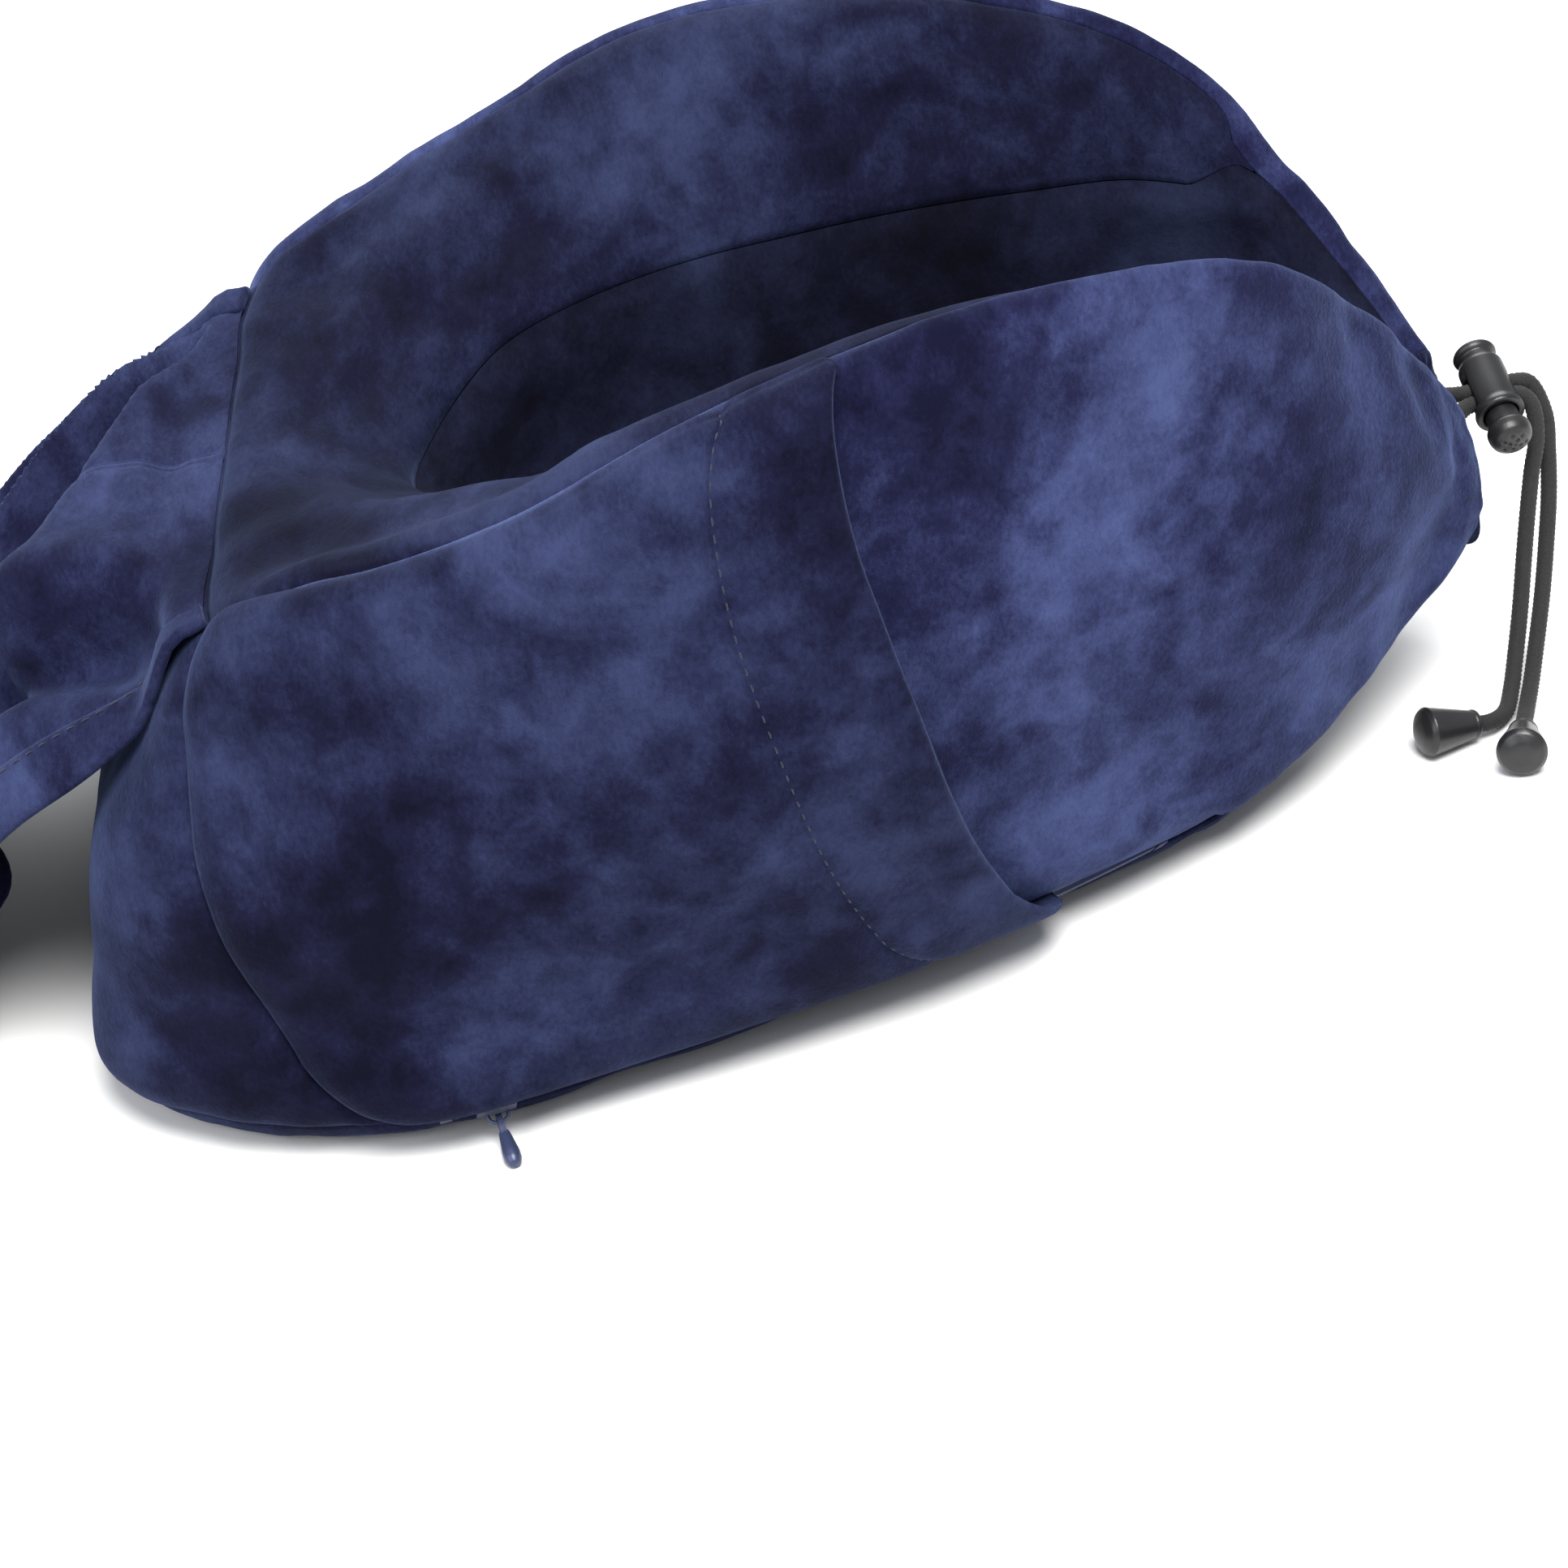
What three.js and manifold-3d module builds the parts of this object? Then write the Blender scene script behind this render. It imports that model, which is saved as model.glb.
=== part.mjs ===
// U-shaped travel neck pillow with a hood, a side pocket, a zipped cover and a corded chin closure.
// Millimetres, +Z up. The open end of the U points along +X and the wearer faces +X, so -Y is the
// wearer's right. The origin is on the floor, under the middle of the box round pillow and hood.
import * as THREE from 'three';
import { mergeVertices } from 'three/addons/utils/BufferGeometryUtils.js';
import Module from 'manifold-3d';

const wasm = await Module();
wasm.setup();

// ---- Driving dimensions -------------------------------------------------------------------------
const CLOTH = 1.2;              // thickness of the velour cover
const FOAM_CLEARANCE = 2.6;     // the foam's skin lies this far inside the body surface
const COVER_INNER = 0.4;        // cover panels span these offsets from the body surface
const COVER_OUTER = COVER_INNER + CLOTH;
const SEAM_GAP = 0.6;           // gap between the edges of two sewn panels
const FIT_GAP = 0.3;            // gap between pieces that touch

const ARM_ARC_CENTRE = [-121.4, 333.5];  // centre of the arc that the right arm's lower edge follows
const ARM_ARC_RADIUS = 485;
const HEM_ROUND = 22;           // how far the rounding of each long edge reaches along the faces
const CREST_ROUND = 26;
const COLLAR_ROUND = 20;
const FOOT_ROUND = 14;
const WALL_BULGE = 6;           // crown of each face between its edges
const TOP_BULGE = 5;
const NECK_BULGE = 5;

const POCKET_INNER = 2.7;       // the pocket lies on the side panel at these offsets
const POCKET_GAPE = 13;         // how far its mouth stands off the side panel
const POCKET_HEM = 0.72;        // width of the mouth's hem, in stations

const CORD_DIAMETER = 3.5;
const CORD_SIDES = 8;
const CORD_STEP = 5;

// ---- Body surface -------------------------------------------------------------------------------
// The body is a closed section swept round the U. Stations run from 0 at the middle of the back to
// LAST at the tip of an arm. Each gives the four long edges: the hem (lower, outside), the ridge
// (upper, outside), the collar (upper, inside) and the foot (lower, inside). The hem and the foot
// are the corners before rounding, and the ridge and the collar are points on the surface.
function armHem(x, z = 0) {
  const reach = Math.sqrt(ARM_ARC_RADIUS ** 2 - (x - ARM_ARC_CENTRE[0]) ** 2);
  return [x, reach - ARM_ARC_CENTRE[1], z];
}

const STATIONS = [
  { hem: [-103, 0, 0], ridge: [-60, 0, 93], collar: [-20, 0, 79], foot: [-9, 0, 0] },
  { hem: [-104, 56, 0], ridge: [-60, 44, 93], collar: [-14, 22, 82], foot: [-4, 20, 0] },
  { hem: [-100, 107, 0], ridge: [-57, 86, 95], collar: [-3, 37, 88], foot: [5, 34, 0] },
  { hem: [-68, 134, 0], ridge: [-46, 99, 101], collar: [4, 43, 90], foot: [12, 40, 0] },
  { hem: armHem(-30), ridge: [-24, 111, 108], collar: [13, 47, 92], foot: [19, 43, 0] },
  { hem: armHem(4), ridge: [6, 118, 118], collar: [26, 51, 94], foot: [30, 46, 0] },
  { hem: armHem(42), ridge: [38, 117, 131], collar: [44, 54, 96], foot: [47, 48, 0] },
  { hem: armHem(80), ridge: [69, 108, 137], collar: [66, 56, 97], foot: [67, 49, 0] },
  { hem: armHem(116), ridge: [104, 95, 139], collar: [91, 57, 98], foot: [91, 49, 0] },
  { hem: armHem(146, 3), ridge: [137, 78, 134], collar: [120, 54, 99], foot: [118, 45, 2] },
  { hem: [170, 49, 10], ridge: [161, 60, 121], collar: [146, 47, 100], foot: [144, 35, 8] },
  { hem: [185, 34, 18], ridge: [176, 42, 102], collar: [166, 34, 96], foot: [166, 20, 17] },
  { hem: [196, 25, 24], ridge: [190, 26, 81], collar: [182, 17, 78], foot: [182, 10, 23] },
  { hem: [203.1, 17.8, 28], ridge: [200.2, 14.3, 62], collar: [194.4, 7.4, 62], foot: [191.6, 4, 29] },
];
const LAST = STATIONS.length - 1;
const MERGE_START = 10.4;       // the top panel narrows from here
const MERGE_END = 11.2;         // to here, where ridge and collar seams become one
const SEAM_INWARD = 0.12;       // the arms' ridge seam lies this much turn inside the crest
const FACE_HALF = 0.25;         // share of a face taken by each rounded end
const STATION_STEP = 0.65;      // spacing of the grid lines that neighbouring panels share
const EDGES = ['hem', 'ridge', 'collar', 'foot'];
const FLOOR_EDGES = ['hem', 'foot'];  // lifted, so that the cover stands on the floor
const ROUNDS = [HEM_ROUND, CREST_ROUND, COLLAR_ROUND, FOOT_ROUND];
const BULGES = [WALL_BULGE, TOP_BULGE, NECK_BULGE, 0];
const ROUND_LIMIT = 0.42;       // a rounding never takes more than this share of a face

function edgeCurve(name) {
  const lift = new THREE.Vector3(0, 0, FLOOR_EDGES.includes(name) ? COVER_OUTER : 0);
  const left = STATIONS.map((station) => new THREE.Vector3(...station[name]).add(lift));
  const right = left.slice(1).reverse().map((p) => new THREE.Vector3(p.x, -p.y, p.z));
  return new THREE.CatmullRomCurve3([...right, ...left], false, 'centripetal');
}

const edgeCurves = EDGES.map(edgeCurve);

function edgePoint(edge, station) {
  const share = THREE.MathUtils.clamp((station + LAST) / (2 * LAST), 0, 1);
  return edgeCurves[edge].getPoint(share);
}

function roundReach(points, edge) {
  const before = points[edge].distanceTo(points[(edge + 3) % 4]);
  const after = points[edge].distanceTo(points[(edge + 1) % 4]);
  return Math.min(ROUNDS[edge], ROUND_LIMIT * Math.min(before, after));
}

// Ridge and collar are given on the surface, so their corners are pushed out by what rounding takes.
function sectionCorners(station) {
  const points = EDGES.map((name, edge) => edgePoint(edge, station));
  const corners = points.map((point) => point.clone());
  for (const edge of [1, 2]) {
    const toBefore = points[(edge + 3) % 4].clone().sub(points[edge]).normalize();
    const toAfter = points[(edge + 1) % 4].clone().sub(points[edge]).normalize();
    const pull = toBefore.add(toAfter).multiplyScalar(roundReach(points, edge) / 4);
    corners[edge].sub(pull);
  }
  return corners;
}

function spineDirection(station) {
  const middle = (at) => EDGES.reduce((sum, name, edge) => sum.add(edgePoint(edge, at)), new THREE.Vector3());
  return middle(station + 0.05).sub(middle(station - 0.05)).normalize();
}

function cornerArc(corners, edge, share) {
  const reach = roundReach(corners, edge);
  const corner = corners[edge];
  const start = corners[(edge + 3) % 4].clone().sub(corner).setLength(reach).add(corner);
  const end = corners[(edge + 1) % 4].clone().sub(corner).setLength(reach).add(corner);
  return new THREE.QuadraticBezierCurve3(start, corner, end).getPoint(share);
}

// A point of the body surface. The turn goes round the section: 0 at the hem, 1 at the ridge, 2 at
// the collar, 3 at the foot and 4 back at the hem.
function bodyPoint(station, turn) {
  const wrapped = ((turn % 4) + 4) % 4;
  const face = Math.floor(wrapped);
  const share = wrapped - face;
  const next = (face + 1) % 4;
  const corners = sectionCorners(station);
  if (share < FACE_HALF) {
    return cornerArc(corners, face, 0.5 + (0.5 * share) / FACE_HALF);
  }
  if (share > 1 - FACE_HALF) {
    return cornerArc(corners, next, (0.5 * (share - 1 + FACE_HALF)) / FACE_HALF);
  }
  const start = cornerArc(corners, face, 1);
  const end = cornerArc(corners, next, 0);
  const along = (share - FACE_HALF) / (1 - 2 * FACE_HALF);
  const length = start.distanceTo(end);
  const outward = spineDirection(station).cross(end.clone().sub(start)).normalize().negate();
  const crown = Math.min(BULGES[face], 0.08 * length) * Math.sin(Math.PI * along) ** 2;
  return start.lerp(end, along).addScaledVector(outward, crown);
}

const PROBE = 0.02;             // step used to measure the surface's slope

function bodyNormal(station, turn) {
  const low = Math.max(station - PROBE, -LAST);
  const high = Math.min(station + PROBE, LAST);
  const along = bodyPoint(high, turn).sub(bodyPoint(low, turn));
  const round = bodyPoint(station, turn + PROBE).sub(bodyPoint(station, turn - PROBE));
  return round.cross(along).normalize();
}

function bodyOffset(station, turn, offset) {
  return bodyPoint(station, turn).addScaledVector(bodyNormal(station, turn), offset);
}

// How much turn a length in millimetres takes at a place on the surface.
function turnFor(station, turn, length) {
  const span = bodyPoint(station, turn + PROBE).distanceTo(bodyPoint(station, turn - PROBE));
  return (length * 2 * PROBE) / span;
}

function merged(station) {
  return 0.5 * THREE.MathUtils.smoothstep(Math.abs(station), MERGE_START, MERGE_END);
}

function ridgeTurn(station) {
  const inward = SEAM_INWARD * THREE.MathUtils.smoothstep(Math.abs(station), 2, 3.5);
  return Math.min(1.5, 1 + inward + merged(station));
}

const collarTurn = (station) => 2 - merged(station);

// The seam between the back and each side panel slants forward as it goes down.
function sideSeamStation(turn) {
  return THREE.MathUtils.lerp(3.8, 2, THREE.MathUtils.clamp(turn, 0, 1));
}

// ---- Mesh helpers -------------------------------------------------------------------------------
function closedGeometry(positions, indices) {
  const geometry = new THREE.BufferGeometry();
  geometry.setAttribute('position', new THREE.Float32BufferAttribute(positions, 3));
  geometry.setIndex(indices);
  geometry.computeVertexNormals();
  return geometry;
}

// A thin closed shell: place(i, j, layer) gives its points, with layer 0 inside and 1 outside.
function shellGeometry(rows, columns, place) {
  const positions = [];
  const indices = [];
  const at = (layer, i, j) => (layer * (rows + 1) + i) * (columns + 1) + j;
  const quad = (a, b, c, d) => indices.push(a, b, c, a, c, d);
  for (let layer = 0; layer < 2; layer += 1) {
    for (let i = 0; i <= rows; i += 1) {
      for (let j = 0; j <= columns; j += 1) {
        positions.push(...place(i / rows, j / columns, layer).toArray());
      }
    }
  }
  for (let i = 0; i < rows; i += 1) {
    for (let j = 0; j < columns; j += 1) {
      quad(at(1, i, j), at(1, i, j + 1), at(1, i + 1, j + 1), at(1, i + 1, j));
      quad(at(0, i, j), at(0, i + 1, j), at(0, i + 1, j + 1), at(0, i, j + 1));
    }
  }
  for (let i = 0; i < rows; i += 1) {
    quad(at(0, i, 0), at(1, i, 0), at(1, i + 1, 0), at(0, i + 1, 0));
    quad(at(1, i, columns), at(0, i, columns), at(0, i + 1, columns), at(1, i + 1, columns));
  }
  for (let j = 0; j < columns; j += 1) {
    quad(at(1, 0, j), at(0, 0, j), at(0, 0, j + 1), at(1, 0, j + 1));
    quad(at(0, rows, j), at(1, rows, j), at(1, rows, j + 1), at(0, rows, j + 1));
  }
  return closedGeometry(positions, indices);
}

// A sewn panel: range(share, across) gives the station and the turn of its points.
function panelGeometry(rows, columns, range, inner = COVER_INNER, outer = COVER_OUTER) {
  return shellGeometry(rows, columns, (share, across, layer) => {
    const [station, turn] = range(share, across);
    return bodyOffset(station, turn, layer ? outer : inner);
  });
}

// The stations of a long panel's rows: its two ends and the shared grid lines between them.
function stationRows(first, last) {
  const rows = [first];
  for (let line = Math.ceil(first / STATION_STEP + 0.3); line * STATION_STEP < last - 0.2; line += 1) {
    rows.push(line * STATION_STEP);
  }
  rows.push(last);
  return rows;
}

// A panel with its long edges on the shared grid lines, so that neighbours' edges run parallel.
function longPanelGeometry(rows, columns, turnAt) {
  const count = rows.length - 1;
  return panelGeometry(count, columns, (share, across) => {
    const station = rows[Math.round(share * count)];
    return [station, turnAt(station, across)];
  });
}

// A closed bar that follows the body: rings of points between two stations, with flat ends.
function sweptGeometry(rings, sides, place) {
  const positions = [];
  const indices = [];
  const centres = [new THREE.Vector3(), new THREE.Vector3()];
  for (let i = 0; i <= rings; i += 1) {
    for (let j = 0; j < sides; j += 1) {
      const point = place(i / rings, j / sides);
      positions.push(...point.toArray());
      if (i === 0) centres[0].addScaledVector(point, 1 / sides);
      if (i === rings) centres[1].addScaledVector(point, 1 / sides);
    }
  }
  const first = (rings + 1) * sides;
  positions.push(...centres[0].toArray(), ...centres[1].toArray());
  for (let i = 0; i < rings; i += 1) {
    for (let j = 0; j < sides; j += 1) {
      const k = (j + 1) % sides;
      const [a, b] = [i * sides + j, i * sides + k];
      indices.push(a, b, b + sides, a, b + sides, a + sides);
    }
  }
  for (let j = 0; j < sides; j += 1) {
    const k = (j + 1) % sides;
    indices.push(first, k, j);
    indices.push(first + 1, rings * sides + j, rings * sides + k);
  }
  return closedGeometry(positions, indices);
}

function solid(geometry, matrix = new THREE.Matrix4()) {
  const bare = geometry.clone().applyMatrix4(matrix);
  bare.deleteAttribute('normal');
  bare.deleteAttribute('uv');
  const joined = mergeVertices(bare, 1e-4);
  const vertProperties = new Float32Array(joined.attributes.position.array);
  const triVerts = new Uint32Array(joined.index.array);
  return new wasm.Manifold(new wasm.Mesh({ numProp: 3, vertProperties, triVerts }));
}

function solidGeometry(manifold) {
  const { vertProperties, triVerts } = manifold.getMesh();
  return closedGeometry(Array.from(vertProperties), Array.from(triVerts));
}

// ---- Materials ----------------------------------------------------------------------------------
const paint = (color, roughness, metalness = 0) => ({ color, roughness, metalness });
const VELOUR = paint(0x1f2647, 0.95);
const FOAM = paint(0xe8e2cf, 0.9);
const TAPE = paint(0x20264a, 0.8);
const COIL = paint(0x2a3052, 0.5);
const ENAMEL = paint(0x3a4568, 0.4, 0.3);
const BLACK_PLASTIC = paint(0x141416, 0.4);
const STEEL = paint(0xb8bac0, 0.3, 1);
const CORD = paint(0x19191b, 0.85);

const group = new THREE.Group();

function add(name, geometry, look, matrix = new THREE.Matrix4()) {
  const mesh = new THREE.Mesh(geometry, new THREE.MeshStandardMaterial(look));
  mesh.name = name;
  mesh.applyMatrix4(matrix);
  group.add(mesh);
  return mesh;
}

// ---- Foam core ----------------------------------------------------------------------------------
const FOAM_END = LAST - 0.75;   // the foam stops short of each tip, where the cord is anchored
const FOAM_SIDES = 20;

const foamRows = stationRows(-FOAM_END, FOAM_END);

add('foam_core', sweptGeometry(foamRows.length - 1, FOAM_SIDES, (share, round) => {
  const station = foamRows[Math.round(share * (foamRows.length - 1))];
  return bodyOffset(station, 4 * round, -FOAM_CLEARANCE);
}), FOAM);

// ---- Cover panels -------------------------------------------------------------------------------
const ZIP_CHANNEL = 4.9;        // half the width of the channel in the hem seam that holds the zip
const ZIP_FIRST = 3.9;          // stations of the right arm between which the zip runs
const ZIP_LAST = 8.6;

// Half gap of the hem seam: wide where the zip lies, narrow elsewhere.
function hemGap(station) {
  const ease = 0.15;
  const opens = THREE.MathUtils.smoothstep(-station, ZIP_FIRST - ease, ZIP_FIRST);
  const closes = THREE.MathUtils.smoothstep(-station, ZIP_LAST, ZIP_LAST + ease);
  return SEAM_GAP / 2 + ZIP_CHANNEL * opens * (1 - closes);
}

function between(station, low, high, lowGap, highGap, across) {
  const start = low + turnFor(station, low, lowGap);
  const end = high - turnFor(station, high, highGap);
  return THREE.MathUtils.lerp(start, end, across);
}

const halfGap = SEAM_GAP / 2;

const topEnd = MERGE_END - 0.25;
const wholeRows = stationRows(-LAST, LAST);

add('cover_top_panel', longPanelGeometry(stationRows(-topEnd, topEnd), 5, (station, across) => (
  between(station, ridgeTurn(station), collarTurn(station), halfGap, halfGap, across)
)), VELOUR);

add('cover_neck_panel', longPanelGeometry(wholeRows, 6, (station, across) => (
  between(station, collarTurn(station), 3, halfGap, halfGap, across)
)), VELOUR);

add('cover_bottom_panel', longPanelGeometry(wholeRows, 5, (station, across) => (
  between(station, 3, 4, halfGap, hemGap(station), across)
)), VELOUR);

function seamStationGap(turn) {
  const station = sideSeamStation(turn);
  const span = bodyPoint(station + PROBE, turn).distanceTo(bodyPoint(station - PROBE, turn));
  return (halfGap * 2 * PROBE) / span;
}

add('cover_back_panel', panelGeometry(16, 7, (share, across) => {
  const end = sideSeamStation(across) - seamStationGap(across);
  const station = THREE.MathUtils.lerp(-end, end, share);
  return [station, between(station, 0, 1, halfGap, halfGap, across)];
}), VELOUR);

// Its rows start on the slanting seam and straighten out onto the grid lines further forward.
const SLANT_ENDS = 6;
const sideRows = stationRows(sideSeamStation(1), LAST);

for (const [side, sign] of [['left', 1], ['right', -1]]) {
  add(`cover_side_panel_${side}`, panelGeometry(sideRows.length - 1, 9, (share, across) => {
    const along = sign > 0 ? share : 1 - share;
    const line = sideRows[Math.round(along * (sideRows.length - 1))];
    const start = sideSeamStation(across) + seamStationGap(across);
    const slant = Math.max(0, (SLANT_ENDS - line) / (SLANT_ENDS - sideRows[0]));
    const station = sign * (line + (start - sideRows[0]) * slant);
    return [station, between(station, 0, ridgeTurn(station), hemGap(station), halfGap, across)];
  }), VELOUR);
}

// ---- Side pocket on the right arm ---------------------------------------------------------------
const POCKET_BOTTOM = 0.09;     // turns between which the pocket is sewn on
const POCKET_TOP = 0.96;

function mouthStation(across) {
  return 6.72 + 0.98 * (1 - across) ** 3 + 0.3 * across ** 6;
}

// The pocket stands off the side panel most at the middle of its mouth.
function pocketStandOff(station, across) {
  const opening = THREE.MathUtils.smoothstep(station, 4.2, mouthStation(across));
  return POCKET_GAPE * opening * Math.sin(Math.PI * across) ** 0.8;
}

function pocketGeometry(rows, firstStation, lastStation) {
  return shellGeometry(rows, 9, (share, across, layer) => {
    const station = THREE.MathUtils.lerp(lastStation(across), firstStation(across), share);
    const turn = THREE.MathUtils.lerp(POCKET_BOTTOM, POCKET_TOP, across);
    const offset = POCKET_INNER + (layer ? CLOTH : 0) + pocketStandOff(station, across);
    return bodyOffset(-station, turn, offset);
  });
}

const pocketRear = (across) => sideSeamStation(across) + 0.06;
const pocketHemStart = (across) => mouthStation(across) - POCKET_HEM;
add('pocket_panel', pocketGeometry(10, pocketRear, (across) => pocketHemStart(across) - 0.012), VELOUR);
add('pocket_hem', pocketGeometry(3, pocketHemStart, mouthStation), VELOUR);

// ---- Hood ---------------------------------------------------------------------------------------
// The hood hinges on the seam along the back rim. It lies thrown back: over the rim, down to the
// floor and up again at its crown, as a shallow bowl open upwards.
const HOOD_PROFILE = [
  [-63.5, 95.8], [-88, 90], [-113, 75], [-134, 49], [-148, 21], [-165, 4.5],
  [-186, 1.2], [-199, 6], [-204.2, 21], [-199, 37],
];
const HOOD_HALF_WIDTH = [84, 87, 84, 82, 84, 88, 88, 84, 78, 70];
const HOOD_SIDE_LIFT = [-2, -11, -14, -8, 6, 16, 22, 20, 12, 6];
const HOOD_HEM = 13;            // width of the hem round the hood's free edge
const hoodCurve = new THREE.CatmullRomCurve3(
  HOOD_PROFILE.map(([x, z], i) => new THREE.Vector3(x, HOOD_HALF_WIDTH[i], z)),
);
const hoodLift = new THREE.CatmullRomCurve3(
  HOOD_SIDE_LIFT.map((lift, i) => new THREE.Vector3(i, lift, 0)),
);

// across runs from -1 at the right edge to 1 at the left, and down from 0 at the rim to 1.
function hoodPoint(across, down) {
  const middle = hoodCurve.getPoint(down);
  const lift = hoodLift.getPoint(down).y;
  return new THREE.Vector3(middle.x, across * middle.y, middle.z + lift * across ** 4);
}

function hoodOffset(across, down, offset) {
  const step = 0.01;
  const sideways = hoodPoint(across + step, down).sub(hoodPoint(across - step, down));
  const low = Math.max(down - step, 0);
  const high = Math.min(down + step, 1);
  const along = hoodPoint(across, high).sub(hoodPoint(across, low));
  const normal = along.cross(sideways).normalize().negate();
  return hoodPoint(across, down).addScaledVector(normal, offset);
}

const HOOD_LENGTH = 250;
const hemAcross = 1 - HOOD_HEM / 96;
const hemDown = 1 - HOOD_HEM / HOOD_LENGTH;
const hoodMiddleGap = 0.25 / 90;
const hoodHemGap = 0.35 / 96;

for (const [side, sign] of [['left', 1], ['right', -1]]) {
  add(`hood_${side}`, shellGeometry(14, 6, (share, across, layer) => {
    const reach = sign > 0 ? across : 1 - across;
    const sideways = sign * THREE.MathUtils.lerp(hoodMiddleGap, hemAcross - hoodHemGap, reach);
    return hoodOffset(sideways, share * (hemDown - hoodHemGap), layer ? CLOTH / 2 : -CLOTH / 2);
  }), VELOUR);
}

// The hem's route: down the right edge, along the crown and back up the left edge.
function hemRoute(share, outerEdge) {
  const across = outerEdge ? 1 : hemAcross;
  const down = outerEdge ? 1 : hemDown;
  const leg = share * 3;
  if (leg <= 1) return [-across, leg * down];
  if (leg <= 2) return [THREE.MathUtils.lerp(-across, across, leg - 1), down];
  return [across, (3 - leg) * down];
}

add('hood_hem', shellGeometry(42, 1, (share, across, layer) => {
  const inner = hemRoute(share, false);
  const outer = hemRoute(share, true);
  const sideways = THREE.MathUtils.lerp(outer[0], inner[0], across);
  const down = THREE.MathUtils.lerp(outer[1], inner[1], across);
  return hoodOffset(sideways, down, layer ? CLOTH / 2 + 0.2 : -CLOTH / 2);
}), VELOUR);

// ---- Zip in the hem seam of the right arm -------------------------------------------------------
// The zip follows the arc of the arm's lower edge, so its slider turns about the arc's centre.
const ZIP_RADIUS = 478.4;
const ZIP_HEIGHT = 7.6;
const ZIP_TILT = THREE.MathUtils.degToRad(-46);  // its face looks outwards and down
const ZIP_START_X = -26;
const ZIP_END_X = 119;
const COIL_WIDTH = 2.8;
const COIL_THICKNESS = 1.1;
const TAPE_THICKNESS = 0.5;
const TAPE_INNER_EDGE = COIL_WIDTH / 2 + FIT_GAP;
const TAPE_OUTER_EDGE = 3.4;
const SLIDER_SIZE = { length: 8, width: 5.2, wall: 0.7, gap: 0.3 };
const SLIDER_PLACE_X = -18;
const ZIP_RINGS = 14;

const zipAngle = (x) => Math.asin((x - ARM_ARC_CENTRE[0]) / ZIP_RADIUS);

// A frame on the zip: x along the track, y across it (up the wall) and z outwards from the cover.
function zipFrame(angle) {
  const along = new THREE.Vector3(Math.cos(angle), Math.sin(angle), 0);
  const level = new THREE.Vector3(Math.sin(angle), -Math.cos(angle), 0);
  const outward = level.clone().multiplyScalar(Math.cos(ZIP_TILT));
  outward.z = Math.sin(ZIP_TILT);
  const across = outward.clone().cross(along);
  const place = level.multiplyScalar(ZIP_RADIUS);
  place.x += ARM_ARC_CENTRE[0];
  place.y += ARM_ARC_CENTRE[1];
  place.z = ZIP_HEIGHT;
  return new THREE.Matrix4().makeBasis(along, across, outward).setPosition(place);
}

function zipBar(startX, endX, low, high, bottom, top, rings) {
  const corners = [[low, bottom], [high, bottom], [high, top], [low, top]];
  return sweptGeometry(rings, 4, (share, round) => {
    const angle = THREE.MathUtils.lerp(zipAngle(startX), zipAngle(endX), share);
    const [across, out] = corners[Math.round(round * 4)];
    return new THREE.Vector3(0, across, out).applyMatrix4(zipFrame(angle));
  });
}

const COIL_BOTTOM = 0.2;
const COIL_TOP = COIL_BOTTOM + COIL_THICKNESS;
add('zip_coil', zipBar(
  ZIP_START_X, ZIP_END_X, -COIL_WIDTH / 2, COIL_WIDTH / 2, COIL_BOTTOM, COIL_TOP, ZIP_RINGS,
), COIL);
add('zip_tape_upper', zipBar(
  ZIP_START_X, ZIP_END_X, TAPE_INNER_EDGE, TAPE_OUTER_EDGE, 0, TAPE_THICKNESS, ZIP_RINGS,
), TAPE);
add('zip_tape_lower', zipBar(
  ZIP_START_X, ZIP_END_X, -TAPE_OUTER_EDGE, -TAPE_INNER_EDGE, 0, TAPE_THICKNESS, ZIP_RINGS,
), TAPE);

const STOP_LENGTH = 2.4;
const STOP_GAP = 0.5;

function stopGeometry() {
  const stop = new THREE.BoxGeometry(STOP_LENGTH, COIL_WIDTH + 0.6, COIL_THICKNESS + 0.3);
  return stop.translate(0, 0, COIL_BOTTOM + COIL_THICKNESS / 2);
}

const stopOffset = STOP_LENGTH / 2 + STOP_GAP;
add('zip_stop_rear', stopGeometry(), ENAMEL, zipFrame(zipAngle(ZIP_START_X - stopOffset)));
add('zip_stop_front', stopGeometry(), ENAMEL, zipFrame(zipAngle(ZIP_END_X + stopOffset)));

// The slider wraps the coil from outside: a roof, two side walls and a bail for the puller.
function sliderGeometry() {
  const { length, width, wall, gap } = SLIDER_SIZE;
  const roofBottom = COIL_TOP + gap;
  const roof = new THREE.BoxGeometry(length, width, wall).translate(0, 0, roofBottom + wall / 2);
  let body = solid(roof);
  const wallHeight = roofBottom - TAPE_THICKNESS - gap + 0.2;
  const wallWidth = width / 2 - COIL_WIDTH / 2 - gap;
  for (const sign of [-1, 1]) {
    const post = new THREE.BoxGeometry(length, wallWidth, wallHeight);
    post.translate(0, sign * (width - wallWidth) / 2, roofBottom + 0.2 - wallHeight / 2);
    body = body.add(solid(post));
  }
  return solidGeometry(body);
}

const sliderAngle = zipAngle(SLIDER_PLACE_X);
add('zip_slider', sliderGeometry(), ENAMEL, zipFrame(sliderAngle));

// The bail is a small bridge along the slider, and the puller's ring hangs round it.
const BAIL_RADIUS = 0.45;
const BAIL_RISE = 2.1;
const BAIL_REACH = 2.1;
const sliderTop = COIL_TOP + SLIDER_SIZE.gap + SLIDER_SIZE.wall;

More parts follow.
